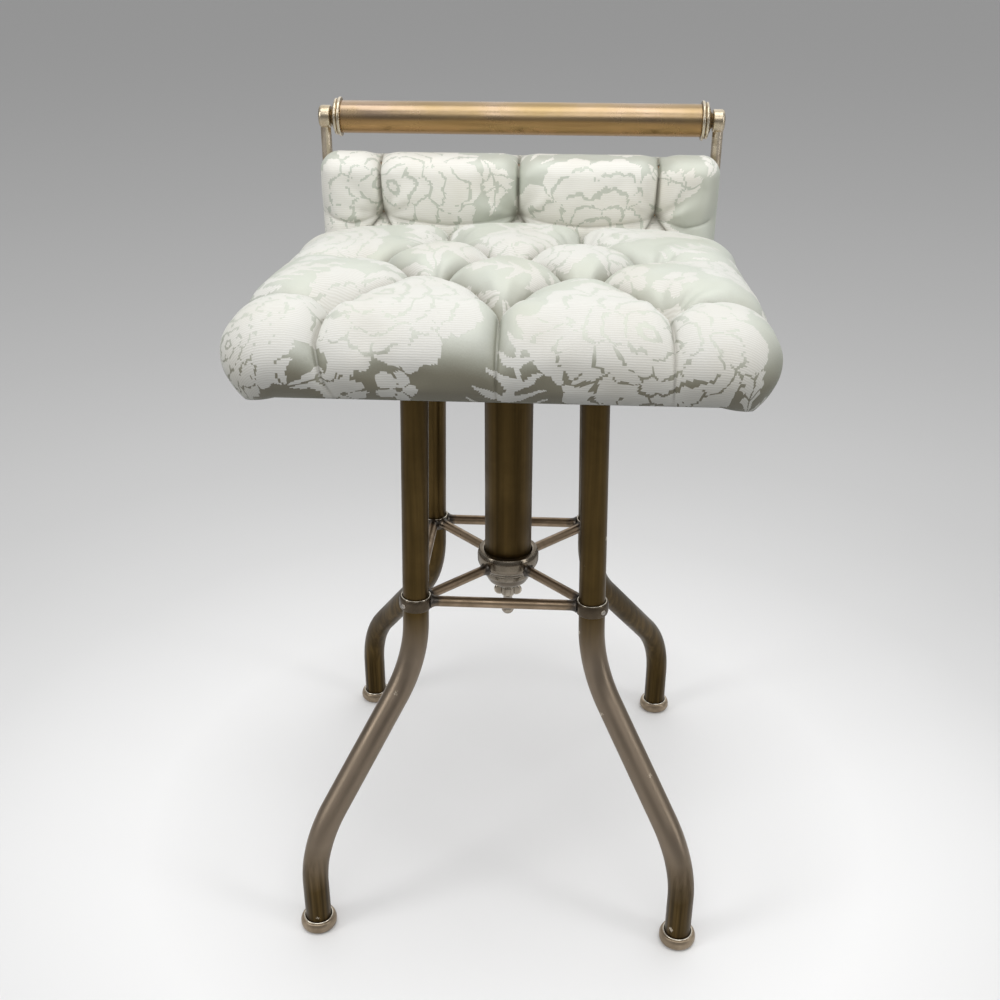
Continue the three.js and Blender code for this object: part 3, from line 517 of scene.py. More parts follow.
# %% Mix the metals
# The warm grey given last is a painted sheen for the front of the lower bends.
tube_brass = aged_metal(
    "tube_brass", bright=(0.104, 0.066, 0.021), dull=(0.077, 0.048, 0.014), dark=(0.028, 0.017, 0.004),
    roughness=0.38, cloud_scale=12.0, streak_scale=(260.0, 260.0, 5.0), streak_share=0.45, edge_wear_and_highlight=0.0,
    worn_and_highlit=(0.5, 0.44, 0.35), pitting=0.25, relief=0.05, painted_sheen=(0.230, 0.183, 0.136))
rod_brass = aged_metal(
    "rod_brass_finish", bright=(0.36, 0.27, 0.185), dull=(0.25, 0.185, 0.12), dark=(0.09, 0.07, 0.05),
    roughness=0.34, cloud_scale=60.0, streak_share=0.35, edge_wear_and_highlight=0.0, smoked=True)
# Its pale edges are set strong, a painted highlight along the rims as well as wear.
hub_brass = aged_metal(
    "hub_brass", bright=(0.17, 0.135, 0.095), dull=(0.105, 0.083, 0.056), dark=(0.045, 0.036, 0.027),
    roughness=0.24, cloud_scale=80.0, streak_share=0.3, edge_wear_and_highlight=0.85, worn_and_highlit=(0.78, 0.71, 0.60),
    edge_span=(0.505, 0.545))
ring_brass = aged_metal(
    "foot_ring_brass", bright=(0.40, 0.32, 0.23), dull=(0.27, 0.21, 0.145), dark=(0.10, 0.075, 0.05),
    roughness=0.33, cloud_scale=70.0, edge_wear_and_highlight=0.7, worn_and_highlit=(0.74, 0.66, 0.54), edge_span=(0.515, 0.57))
collar_brass = aged_metal(
    "collar_brass", bright=(0.125, 0.098, 0.068), dull=(0.085, 0.065, 0.043), dark=(0.04, 0.03, 0.02),
    roughness=0.33, cloud_scale=70.0, edge_wear_and_highlight=0.5, worn_and_highlit=(0.60, 0.54, 0.44), edge_span=(0.53, 0.60))
# Its underside tone is a painted reflection, darker and more orange on the lower half.
rail_brass = aged_metal(
    "polished_rail_brass", bright=(0.46, 0.345, 0.255), dull=(0.43, 0.31, 0.155),
    dark=(0.23, 0.16, 0.075), roughness=0.27, cloud_scale=14.0, streak_scale=(9.0, 110.0, 110.0),
    streak_share=0.5, edge_wear_and_highlight=0.0, pitting=0.35, relief=0.008, painted_underside_reflection=(0.36, 0.22, 0.09))
iron = aged_metal(
    "black_iron", bright=(0.055, 0.052, 0.05), dull=(0.035, 0.032, 0.03), dark=(0.09, 0.05, 0.03),
    roughness=0.6, edge_wear_and_highlight=0.35, worn_and_highlit=(0.2, 0.19, 0.18), relief=0.4, metallic=0.75)
steel = aged_metal(
    "old_steel", bright=(0.42, 0.41, 0.39), dull=(0.28, 0.27, 0.25), dark=(0.14, 0.10, 0.07),
    roughness=0.36, cloud_scale=90.0, edge_wear_and_highlight=0.5)
cap_brass = aged_metal(
    "cap_brass", bright=(0.62, 0.52, 0.36), dull=(0.42, 0.33, 0.20), dark=(0.16, 0.12, 0.07),
    roughness=0.26, cloud_scale=60.0, edge_wear_and_highlight=0.8, worn_and_highlit=(0.92, 0.86, 0.74), edge_span=(0.505, 0.54))
post_brass = aged_metal(
    "post_brass", bright=(0.50, 0.40, 0.27), dull=(0.32, 0.24, 0.15), dark=(0.10, 0.08, 0.05),
    roughness=0.3, streak_scale=(80.0, 80.0, 8.0), streak_share=0.5)
solder = aged_metal(
    "silver_solder", bright=(0.80, 0.76, 0.66), dull=(0.55, 0.50, 0.42), dark=(0.2, 0.17, 0.13),
    roughness=0.25, cloud_scale=240.0, edge_wear_and_highlight=0.3)
print("metals:", [m.name for m in bpy.data.materials if "brass" in m.name])

# %% [markdown]
# ## Legs
# Each leg is one brass tube: upright at the top, leaning in a little, then bent outwards and
# back down to the floor, with the same bend radius both times. The path lies in the upright
# plane that runs from the collar out to the foot, so it is drawn there with four corners.

# %% Sizes of the base, in metres
corner_sides = {"front_left": (-1, -1), "front_right": (1, -1),
                "back_right": (1, 1), "back_left": (-1, 1)}
flat_sides = {"front": (0, -1), "right": (1, 0), "back": (0, 1), "left": (-1, 0)}
collar_height = 0.279
foot_reach = (0.157, 0.1675)
leg_radius = 0.0111
leg_bend = 0.098
leg_top = 0.488
leg_base = 0.0023
knee_low, knee_high = 0.087, 0.221
leg_lean = 0.0065
fit_gap = 0.0003
collar_depth = 0.011
lean_slope = leg_lean / (leg_top - collar_height)
up_to_collar = Vector((0, 0, collar_height))


def leg_frame(name):
    """Where a leg passes its collar, and the level direction from there out to its foot."""
    side_x, side_y = corner_sides[name]
    collar = Vector((side_x * collar_reach, side_y * collar_reach, 0))
    foot = Vector((side_x * foot_reach[0], side_y * foot_reach[1], 0))
    return collar, foot, (foot - collar).normalized()


print("legs lean", round(math.degrees(math.atan(lean_slope)), 2), "degrees")

# %% Bend the legs
for name in corner_sides:
    collar, foot, outward = leg_frame(name)
    foot_run_out = (foot - collar).length
    outline = [(foot_run_out, leg_base), (foot_run_out, knee_low),
               (lean_slope * (collar_height - knee_high), knee_high), (-leg_lean, leg_top)]
    corners = [collar + outward * reach + Vector((0, 0, height)) for reach, height in outline]
    add_piece(f"leg_tube_{name}", swept(bent_path(corners, leg_bend, 24), leg_radius, 40), "base",
              [f"leg_{name}"], tube_brass)
print("legs reach", round(leg_top, 3), "m up")

# %% [markdown]
# ## Foot rings, collars and rivets
# A cast brass ring closes the foot of each leg, and a plain collar with one rivet is soldered on
# where the rods meet. All are lathe work. Their edges are rounded in the outline itself, so
# that they catch a thin line of light as worn brass does.

# %% Turn the rings and collars
leg_hole, collar_half = leg_radius + fit_gap, collar_depth / 2
foot_outline = rounded([
    (0, 0), (0.0132, 0), (0.0156, 0.0026), (0.0156, 0.0072), (0.0140, 0.0104), (0.0126, 0.0106),
    (leg_hole, 0.0106), (leg_hole, 0.002), (0, 0.002)], 0.0026, 6)
collar_outline = rounded([
    (leg_hole, 0), (leg_hole, -collar_half), (collar_radius - 0.0006, -collar_half),
    (collar_radius, -collar_half / 2), (collar_radius, collar_half / 2),
    (collar_radius - 0.0006, collar_half), (leg_hole, collar_half), (leg_hole, 0)], 0.0011, 5)[:-1]


def lip_outline(radius, thickness, height):
    """A round bead of solder, as a ring's closed outline."""
    return [(radius + thickness * math.cos(a), height + thickness * math.sin(a))
            for a in np.linspace(0, 2 * math.pi, 12, endpoint=False)]


foot_lip = lip_outline(0.0121, 0.0007, 0.0108)
collar_lip = lip_outline(0.0120, 0.0006, 0.0054)
rivet_outline = [(0, -0.0013)] + [
    (0.0022 * math.cos(a), -0.0001 + 0.0014 * math.sin(a)) for a in np.linspace(0, math.pi / 2, 7)]
rivet_outline[1] = (0.0022, -0.0013)

for name in corner_sides:
    collar, foot, outward = leg_frame(name)
    leg_axis = (Vector((0, 0, 1)) - outward * lean_slope).normalized()
    at_collar = Matrix.Translation(collar + up_to_collar) @ upright_to(leg_axis)
    add_piece(f"foot_cup_{name}", moved(turned(foot_outline), Matrix.Translation(foot)), "base",
              [f"foot_ring_{name}"], ring_brass)
    add_piece(f"leg_collar_{name}", moved(turned(collar_outline, ring=True), at_collar), "base",
              [f"collar_{name}"], collar_brass)
    add_piece(f"foot_lip_{name}", moved(turned(foot_lip, ring=True), Matrix.Translation(foot)), "base",
              [], solder)
    add_piece(f"collar_solder_{name}", moved(turned(collar_lip, ring=True), at_collar), "base",
              [], solder)
    rivet = Matrix.Translation(collar + up_to_collar + outward * collar_radius) @ upright_to(outward)
    add_piece(f"rivet_{name}", moved(turned(rivet_outline, 24), rivet), "base",
              [f"collar_pin_{name}"], steel)
print("foot ring", round(2000 * max(r for r, z in foot_outline), 1), "mm across")

# %% [markdown]
# ## Rods
# Four stretchers tie the collars in a square, and four braces run in from them to the hub. Each
# is solid rod, silver-soldered at both ends, where a little fillet of solder flares it out.
# The sweep takes one radius for each point of the path, so the flare costs no extra mesh.

# %% Solder the rods in
stretcher_radius, brace_radius = 0.0045, 0.0043
# Each pair is a distance from the joint, and the thickness there as a share of the rod's own.
flare = [(0.0, 1.42), (0.0012, 1.2), (0.0028, 1.06), (0.005, 1.0)]
solder_bite = 0.0006


def soldered_rod(start, end, radius):
    start, end = Vector(start), Vector(end)
    way, length = (end - start).normalized(), (end - start).length
    runs = flare + [(length - run, share) for run, share in reversed(flare)]
    return swept([start + way * run for run, share in runs],
                 [radius * share for run, share in runs], 28)


reach = collar_reach - collar_radius + solder_bite
for name, (side_x, side_y) in flat_sides.items():
    along = Vector((abs(side_y), abs(side_x), 0)) * reach
    middle = Vector((side_x, side_y, 0)) * collar_reach + up_to_collar
    rod = soldered_rod(middle - along, middle + along, stretcher_radius)
    add_piece(f"stretcher_rod_{name}", rod, "base", [f"stretcher_{name}"], rod_brass)
for name, (side_x, side_y) in corner_sides.items():
    out = Vector((side_x, side_y, 0)).normalized()
    inner = out * (hub_radius - solder_bite) + up_to_collar
    outer = out * (collar_reach * math.sqrt(2) - collar_radius + solder_bite) + up_to_collar
    rod = soldered_rod(inner, outer, brace_radius)
    add_piece(f"brace_rod_{name}", rod, "base", [f"brace_{name}"], rod_brass)
print("rods:", len(flat_sides) + len(corner_sides))

# %% [markdown]
# ## Column, hub and the parts under it
# The column is the widest tube. It ends in a turned hub that the braces run into. Below the hub
# hang a cup, a wing nut that draws it up, and a small ball that closes the stud.

# %% Turn the column and hub
column_radius = 0.0206
hub_low, hub_high = 0.2724, 0.2917
stud_radius = 0.004

column_foot, column_inside = 0.2787, column_radius - 0.0016
column_outline = rounded([
    (column_inside, 0.30), (column_inside, column_foot), (column_radius, column_foot),
    (column_radius, leg_top), (column_inside, leg_top), (column_inside, 0.30)], 0.0003, 2)[:-1]
add_piece("column_tube", turned(column_outline, 72, ring=True), "base", ["column"],
          tube_brass)

hub_bore, stud_hole = column_radius + fit_gap, stud_radius + fit_gap
hub_outline = rounded([
    (stud_hole, 0.275), (stud_hole, hub_low), (0.0232, hub_low), (0.0240, hub_low + 0.0030),
    (0.0262, hub_low + 0.0046), (hub_radius, hub_low + 0.0080), (hub_radius, hub_high - 0.0040),
    (0.0258, hub_high - 0.0004), (0.0246, hub_high), (hub_bore, hub_high), (hub_bore, 0.2784),
    (stud_hole, 0.2784), (stud_hole, 0.275)], 0.0018, 5)[:-1]
add_piece("hub_casting", turned(hub_outline, 72, ring=True), "base", ["hub"], hub_brass)
print("hub", round(1000 * (hub_high - hub_low), 1), "mm high")

# %% Turn the cup, wing nut and ball
cup_low, cup_high, cup_radius = 0.2531, 0.2721, 0.0217
slide = stud_radius + 0.0004
cup_outline = rounded([
    (slide, 0.258), (slide, cup_low), (0.0080, cup_low), (0.0084, cup_low + 0.0020),
    (0.0128, cup_low + 0.0036), (0.0176, cup_low + 0.0074), (0.0204, cup_low + 0.0128),
    (cup_radius, cup_low + 0.0148), (cup_radius, cup_high - 0.0008), (0.0212, cup_high),
    (0.0163, cup_high), (0.0153, cup_low + 0.0105), (slide, cup_low + 0.0095), (slide, 0.258)],
    0.0014, 5)[:-1]
add_piece("cup_turning", turned(cup_outline, 64, ring=True), "cup", ["cup"], hub_brass)

nut_low, nut_high = 0.2428, 0.2528
nut_outline = rounded([(slide, 0.247), (slide, nut_low), (0.0052, nut_low), (0.0064, nut_low + 0.002),
                       (0.0064, nut_high - 0.0015), (0.0056, nut_high), (slide, nut_high),
                       (slide, 0.247)], 0.0008, 3)[:-1]
lobe_outline = [(0, -0.002)] + [(0.0032 + 0.002 * math.cos(a), 0.002 * math.sin(a))
                                for a in np.linspace(-math.pi / 2, math.pi / 2, 9)] + [(0, 0.002)]
lobes = [moved(turned(lobe_outline, 32), Matrix.Translation((side * 0.0075, 0, 0.2482))
               @ Matrix.Rotation(math.pi / 2, 4, "X")) for side in (-1, 1)]
add_piece("wing_nut_casting", joined(turned(nut_outline, 40, ring=True), *lobes), "wing_nut",
          ["wing_nut"], hub_brass)

ball_radius, ball_middle = 0.0058, 0.2286
ball_outline = [(ball_radius * math.sin(a), ball_middle - ball_radius * math.cos(a))
                for a in np.linspace(0, math.pi * 0.82, 20)]
ball_outline += [(0.0044, ball_middle + 0.0054), (0.0042, ball_middle + 0.0062),
                 (0, ball_middle + 0.0062)]
add_piece("ball_turning", turned(ball_outline, 40), "base", ["ball_end"], hub_brass)
print("cup", round(1000 * (cup_high - cup_low), 1), "mm high, on a stud of",
      round(2000 * stud_radius, 1), "mm")

# %% [markdown]
# ## Screw and seat plate
# The seat turns on a coarse square thread. With the seat right down it is out of sight, but it
# shows as soon as the seat is wound up, so the thread is real: the radius of each point of the
# bar depends on how far round and how far up it is.

# %% Cut the thread
spindle_low, spindle_high = 0.344, 0.4992
spindle_radius, thread_root, thread_pitch = 0.0100, 0.0087, 0.006
rows_per_turn, thread_sides = 12, 48


def threaded_bar(low, high):
    """A bar whose side rises and falls with a flat-topped thread."""
    rows = int((high - low) / thread_pitch * rows_per_turn)
    points = []
    for row in range(rows + 1):
        height = low + (high - low) * row / rows
        for i in range(thread_sides):
            turn_share = i / thread_sides
            phase = (height / thread_pitch - turn_share) % 1.0
            ridge = min(1.0, max(0.0, 3.2 * abs(phase - 0.5) - 0.3))
            end = min(1.0, (height - low) / 0.003, (high - height) / 0.003)
            radius = thread_root + (spindle_radius - thread_root) * ridge * end
            angle = 2 * math.pi * turn_share
            points.append((radius * math.cos(angle), radius * math.sin(angle), height))
    return points, capped(points, thread_sides)


neck_outline = rounded([(0, 0.32585), (0.008, 0.32585), (0.008, 0.32935), (0.005, 0.32935),
                        (0.005, 0.3442), (0, 0.3442)], 0.0006, 3)
tenon_outline = rounded([(0, 0.499), (0.007, 0.499), (0.007, 0.5055), (0, 0.5055)], 0.0004, 3)
add_piece("spindle_screw", joined(threaded_bar(spindle_low, spindle_high), turned(neck_outline, 40),
                                  turned(tenon_outline, 40)), "seat", ["spindle"], steel)
print("spindle thread:", round((spindle_high - spindle_low) / thread_pitch), "turns")

# %% Finish the iron parts that keep their frame shape
def finish_nodes(names, material):
    for name in names:
        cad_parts[name].data.materials.clear()
        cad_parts[name].data.materials.append(material)


iron_nodes = ("top_spider", "screw_nut", "spindle_guide", "seat_plate")
finish_nodes(iron_nodes, iron)
finish_nodes(("stud",), steel)
print("finished in iron:", iron_nodes)

# %% [markdown]
# ## Rail and posts
# The rail is the brightest metal on the stool, because hands polish it. Two turned caps close
# it, each with two thin rings and a short cone, and a round boss joins each cap to its post.

# %% Sizes at the back of the seat, in metres
rail_radius, rail_length, rail_height = 0.0142, 0.3226, 0.6325
post_reach, post_back = 0.177, 0.1798
post_radius = 0.0048
boss_half = 0.0054
board_low, board_high = 0.50585, 0.51985


def on_rail(shape, side, distance=0.0):
    """Lays a shape that was turned round Z along the rail, its top pointing outwards."""
    place = Matrix.Translation((side * distance, post_back, rail_height))
    return moved(shape, place @ Matrix.Rotation(side * math.pi / 2, 4, "Y"))


print("rail", round(1000 * rail_height, 1), "mm up")

# %% Turn the rail, its caps and bosses
rail_inside, rail_half = rail_radius - 0.0014, rail_length / 2
rail_outline = rounded([
    (rail_inside, 0), (rail_inside, -rail_half), (rail_radius, -rail_half), (rail_radius, rail_half),
    (rail_inside, rail_half), (rail_inside, 0)], 0.0004, 3)[:-1]
add_piece("rail_tube", on_rail(turned(rail_outline, 96, ring=True), 1), "seat", ["rail"],
          rail_brass)

cap_start = 0.1613
cap_outline = rounded([
    (0, cap_start - 0.012), (0.0124, cap_start - 0.012), (0.0124, cap_start), (0.0158, cap_start),
    (0.0172, cap_start + 0.0004), (0.0172, cap_start + 0.0024), (0.0152, cap_start + 0.0030),
    (0.0148, cap_start + 0.0036), (0.0160, cap_start + 0.0040), (0.0160, cap_start + 0.0058),
    (0.0138, cap_start + 0.0064), (0.0102, cap_start + 0.0080), (0.0070, cap_start + 0.0088),
    (0.0065, 0.1713), (0, 0.1713)], 0.0008, 4)
boss_outline = rounded([
    (0, -boss_half), (0.0094, -boss_half), (0.0100, -0.0045), (0.0100, 0.0028), (0.0090, 0.0046),
    (0.0060, boss_half), (0, boss_half)], 0.0014, 4)
for side, name in ((-1, "left"), (1, "right")):
    add_piece(f"rail_end_{name}", on_rail(turned(cap_outline, 80), side), "seat",
              [f"rail_cap_{name}"], cap_brass)
    add_piece(f"rail_knuckle_{name}", on_rail(turned(boss_outline, 56), side, post_reach), "seat",
              [f"rail_boss_{name}"], cap_brass)
print("rail", round(1000 * rail_length, 1), "mm long,", round(2000 * rail_radius, 1), "mm thick")

# %% Bend the posts in under the seat board
post_foot_height = board_low - fit_gap - post_radius
foot_run, foot_plate, foot_width, foot_thickness = 0.0740, 0.046, 0.016, 0.004
screw_pitch = 0.026


def flat_bar(start, way, length, width, low, high, end_steps=10):
    """A flat strip with round ends, from start along a level direction."""
    start, way = Vector(start), Vector(way).normalized()
    across = Vector((-way.y, way.x, 0))
    rim = []
    for along, first in ((length - width / 2, -math.pi / 2), (width / 2, math.pi / 2)):
        centre = start + way * along
        for i in range(end_steps + 1):
            angle = first + math.pi * i / end_steps
            rim.append(centre + (way * math.cos(angle) + across * math.sin(angle)) * width / 2)
    points = [(p.x, p.y, z) for z in (low, high) for p in rim]
    return points, capped(points, len(rim))


post_screws = []
for side, name in ((-1, "left"), (1, "right")):
    root = Vector((side * post_reach, post_back, post_foot_height))
    inward = Vector((-side, -1, 0)).normalized()
    path = bent_path([Vector((root.x, root.y, rail_height - 0.004)), root,
                      root + inward * (foot_run - foot_plate + 0.004)], 0.012, 16)
    plate = flat_bar(root + inward * (foot_run - foot_plate - 0.003), inward,
                     foot_plate + 0.003, foot_width,
                     board_low - fit_gap - foot_thickness, board_low - fit_gap)
    add_piece(f"post_bar_{name}", joined(swept(path, post_radius, 32), plate), "seat",
              [f"post_{name}"], post_brass)
    plate_middle = root + inward * (foot_run - foot_plate / 2)
    post_screws += [plate_middle + inward * screw_pitch * step for step in (-0.5, 0.5)]
print("post screws at", [tuple(round(v, 4) for v in spot.xy) for spot in post_screws])

# %% [markdown]
# ## Screws
# Eleven slotted wood screws hold the plate, the posts and the back board. Each head is a low
# dome. The slot is a real groove: rows of points across the dome that drop below it.

# %% Set the screws
head_radius, head_rise, slot_half = 0.0044, 0.0016, 0.0006


def screw_head(rings=6, sides=32):
    """A domed head, slotted along X, that stands up along Z from its underside at 0."""
    points, faces = [], []
    for ring in range(rings + 1):
        radius = head_radius * ring / rings
        dome = head_rise * (1 - 0.45 * (ring / rings) ** 2)
        for x, y in spokes(sides):
            in_slot = abs(radius * y) < slot_half * 1.4
            points.append((radius * x, radius * y, dome * 0.35 if in_slot else dome))
    base = len(points)
    points += [(head_radius * x, head_radius * y, 0) for x, y in spokes(sides)]
    for ring in range(rings + 1):
        for i in range(sides):
            a, b = ring * sides + i, ring * sides + (i + 1) % sides
            faces.append((a, a + sides, b + sides, b) if ring else (a, a + sides, b + sides))
    faces.append(tuple(range(base, base + sides))[::-1])
    return points, faces


def set_screw(name, spot, facing, node):
    twist = Matrix.Rotation(sum(map(ord, name)) % 7 * 0.4, 4, "Z")
    shank = turned([(0, -0.010), (0.0012, -0.008), (0.0020, -0.004), (0.0021, 0.0002), (0, 0.0002)], 16)
    place = Matrix.Translation(spot) @ upright_to(facing) @ twist
    add_piece(name, moved(joined(screw_head(), shank), place), "seat", [node], steel)


plate_low, plate_hole = 0.49955, 0.034
for i, (x, y) in enumerate(((-1, -1), (1, -1), (1, 1), (-1, 1)), 1):
    spot = (x * plate_hole, y * plate_hole, plate_low - fit_gap)
    set_screw(f"plate_slot_screw_{i}", spot, (0, 0, -1), f"plate_screw_{i}")
for i, spot in enumerate(post_screws, 1):
    under = board_low - fit_gap - foot_thickness - fit_gap
    set_screw(f"post_slot_screw_{i}", (spot.x, spot.y, under), (0, 0, -1), f"post_screw_{i}")
back_length, back_face = 0.322, 0.1747
for i, share in enumerate((-0.35, 0, 0.35), 1):
    spot = (share * back_length, back_face + fit_gap, (board_low + board_high) / 2)
    set_screw(f"back_slot_screw_{i}", spot, (0, 1, 0), f"back_screw_{i}")

# %% [markdown]
# ## Boards
# Two beech boards carry the upholstery. Beech has a straight pale grain with short darker flecks,
# so the finish is a stretched noise for the grain, and fine stretched cells for the flecks.


# %% Grain the boards
def grained_wood(name, along):
    material, tree, shader = new_material(name)
    place = add_node(tree, "ShaderNodeTexCoord").outputs["Object"]
    long_way, fleck_way = (tuple(slow if i == along else fast for i in range(3))
                           for slow, fast in ((12.0, 160.0), (190.0, 900.0)))
    grain = noise_node(vector_maths("MULTIPLY", place, long_way), 1.0, 6.0, Distortion=0.6)
    fleck = add_node(tree, "ShaderNodeTexVoronoi", {
        "Vector": vector_maths("MULTIPLY", place, fleck_way), "Scale": 1.0}).outputs["Distance"]
    tone = ramp(grain, [(0.3, (0.40, 0.25, 0.13)), (0.5, (0.52, 0.35, 0.20)),
                        (0.7, (0.60, 0.43, 0.26))])
    flecks = times(remap(fleck, 0.08, 0.2, 1.0, 0.0), 0.4)
    feed(mix_colour(flecks, tone, (0.26, 0.15, 0.08)), shader.inputs["Base Color"])
    feed(remap(grain, 0.3, 0.7, 0.62, 0.5), shader.inputs["Roughness"])
    feed(bump_node(grain, 0.25, 0.0004), shader.inputs["Normal"])
    return material


beech = grained_wood("oiled_beech", 0)
finish_nodes(("seat_board", "back_board"), beech)
print("wood:", beech.name)

# %% [markdown]
# ## Damask
# The cloth is a damask: one ivory yarn and one sage yarn, and the weave decides which one is on
# top. Ivory areas are ribbed and matt. Sage areas are satin, and their colour is painted pale where
# they face up and darker as they turn away, as light falls on satin. Blooms, small flowers,
# serrated leaves and long stems repeat with a half drop. Drawn with plain maths in the flat cloth's
# own metres, they keep their true size, and rounding the place to whole threads first gives them
# the stepped edge of a weave.
# A motif of a kind is drawn once, at the nearest of its spots. Each spot holds a place in the
# repeat, a turn and a size, and that of a stem also how far the stem curves round.

# %% Where the motifs lie in one repeat
repeat_width, repeat_height = 0.48, 0.44
thread_width, thread_height = 0.0016, 0.0013
blooms = [(-0.080, -0.112, 0.2, 0.076), (0.100, -0.152, 1.3, 0.078), (0.100, 0.288, 1.3, 0.078),
          (0.012, 0.040, 0.7, 0.064), (-0.187, -0.150, 2.0, 0.054), (-0.166, 0.080, 0.4, 0.064),
          (0.184, -0.006, 1.1, 0.056), (0.115, 0.155, 2.4, 0.062)]
flower_pairs = [(-0.083, -0.200, 0.05, 0.0165), (0.108, -0.052, -0.3, 0.0165),
                (-0.062, 0.126, 0.5, 0.0160), (-0.150, -0.030, 1.2, 0.0155),
                (0.200, 0.085, 0.8, 0.0150), (0.020, 0.192, 0.1, 0.0155)]
sprigs = [(-0.140, -0.196, -0.5, 0.058), (-0.060, -0.010, 0.9, 0.068), (0.080, -0.010, -0.7, 0.062),
          (0.196, -0.105, 0.6, 0.056), (0.085, 0.085, -0.2, 0.066), (-0.105, 0.165, 2.9, 0.062),
          (0.030, 0.130, 1.6, 0.056), (-0.196, -0.020, 0.2, 0.052), (0.000, -0.075, 2.6, 0.058),
          (0.185, 0.152, -0.5, 0.056), (-0.185, 0.150, 0.6, 0.056), (0.198, -0.200, 0.1, 0.056)]
ferns = [(0.004, -0.214, -0.15, 0.095), (-0.185, -0.075, -0.9, 0.075), (0.060, -0.060, 1.5, 0.090),
         (0.135, 0.045, -0.4, 0.075), (-0.215, 0.186, -1.57, 0.100), (-0.060, 0.075, 0.7, 0.080),
         (0.212, 0.045, 0.4, 0.075), (-0.020, 0.165, 1.4, 0.085), (0.212, 0.125, 0.2, 0.075)]
stems = [(0.040, -0.286, -1.50, 0.100, 0.50), (-0.085, 0.075, 0.35, 0.085, 0.60),
         (0.150, 0.050, 2.70, 0.080, 0.55), (-0.140, -0.090, -0.9, 0.075, 0.45)]
stem_width, rib_pitch, twill_pitch = 0.0019, 0.0017, 0.0009
print("one repeat holds", len(blooms), "blooms,", len(flower_pairs), "flower pairs,", len(sprigs),
      "sprigs,", len(ferns), "ferns and", len(stems), "stems")

# %% Find the nearest motif of a kind
def both(*masks):
    return functools.reduce(times, masks)


def either(*masks):
    return functools.reduce(higher, masks)


def without(mask, hole):
    return times(mask, minus(1.0, hole))


def held_back(place, until):
    """The same place, worked out after until, so that the renderer never holds all motifs at once."""
    return vector_maths("MULTIPLY_ADD", until, (0, 0, 0), place)


def nearest_spot(place, spots):
    """The place seen from the nearest spot, turned with it and measured in its size."""
    best = best_away = None
    for x, y, turn, size in spots:
        start = place if best is None else held_back(place, best_away)
        local = add_node(tree_of(place), "ShaderNodeMapping", {
            "Vector": start, "Location": (x, y, 0), "Rotation": (0, 0, turn), "Scale": (size, size, 1)},
            vector_type="TEXTURE").outputs[0]
        away = vector_maths("LENGTH", local)
        if best is None:
            best, best_away = local, away
            continue
        choose = add_node(tree_of(place), "ShaderNodeMix", {
            0: less_than(away, best_away), 4: best, 5: local}, data_type="VECTOR")
        best, best_away = choose.outputs[1], lower(away, best_away)
    return best


def polar(place):
    """The distance and angle of a place, and its two sides."""
    along, across, _ = axes(place)
    return vector_maths("LENGTH", place), angle_of(across, along), along, across


def scallop(angle, lobes, shift, dip, roundness=0.5):
    """A wavy edge, dip between the lobes and 1 at the middle of each. Also gives the bare wave."""
    wave = size_of(cosine(times_plus(angle, lobes / 2, shift)))
    return times_plus(raised(wave, roundness), 1 - dip, dip), wave


# %% Draw the motifs
def new_motif(name):
    group, group_in, group_out = new_group(name, [("Place", "vector")], [("Woven", "value")])
    return group, group_in.outputs["Place"], group_out.inputs["Woven"]


bloom_group, place, woven = new_motif("bloom")
away, angle, along, across = polar(place)
vein_width = remap(noise_node(place_at(along, across), 7.0), 0.35, 0.58, 0.001, 0.023)
fine_edge = scallop(angle, 31, 0.2, 0.955, 0.7)[0]
veins = []
for share, lobes, shift, dip in ((0.24, 5, 0.3, 0.74), (0.42, 6, 0.9, 0.78), (0.60, 7, 0.15, 0.80),
                                 (0.80, 8, 0.5, 0.82), (1.00, 9, 0.0, 0.80)):
    edge_share, wave = scallop(angle, lobes, shift, dip)
    edge = times(times(edge_share, fine_edge), share)
    if share < 1:
        veins.append(less_than(size_of(minus(away, edge)), vein_width))
    spoke = less_than(times(wave, away), times(vein_width, 2.0))
    outer_part = both(less_than(away, edge), less_than(times(edge, 0.82), away))
    veins.append(both(spoke, outer_part))
heart = both(less_than(away, 0.085), less_than(0.045, away))
feed(without(less_than(away, edge), either(heart, *veins)), woven)

flower_group, place, woven = new_motif("flower_pair")
folded = axes(vector_maths("ABSOLUTE", place))[0]
away, angle = polar(place_at(minus(folded, 1.02), axes(place)[1]))[:2]
edge_share, wave = scallop(angle, 5, 0.3, 0.42, 0.45)
petals = less_than(away, times(edge_share, scallop(angle, 15, 0.3, 0.90, 0.6)[0]))
gaps = both(less_than(times(wave, away), 0.075), less_than(0.3, away))
feed(without(petals, either(less_than(away, 0.17), gaps)), woven)

leaf_group, place, woven = new_motif("leaf_sprig")
beside_stalk, up_stalk = size_of(axes(place)[0]), axes(place)[1]
leaf_turn = 0.62
along = times_plus(up_stalk, math.cos(leaf_turn), times(beside_stalk, math.sin(leaf_turn)))
across = times_plus(up_stalk, -math.sin(leaf_turn), times(beside_stalk, math.cos(leaf_turn)))
bow = times(times_plus(along, -1.0, 1.0), along)
side = size_of(times_plus(bow, -0.45, across))
slant = minus(along, side)
teeth = fraction(divided(slant, 0.135))
half_width = times(times(sine(times(along, math.pi)), 0.25), times_plus(teeth, -0.38, 1.0))
blade = both(less_than(side, half_width), less_than(0.0, along), less_than(along, 1.0))
midrib = both(less_than(side, 0.016), less_than(along, 0.86))
ribs = both(less_than(fraction(divided(slant, 0.27)), 0.12), less_than(side, times(half_width, 0.72)))
feed(without(blade, either(midrib, ribs)), woven)

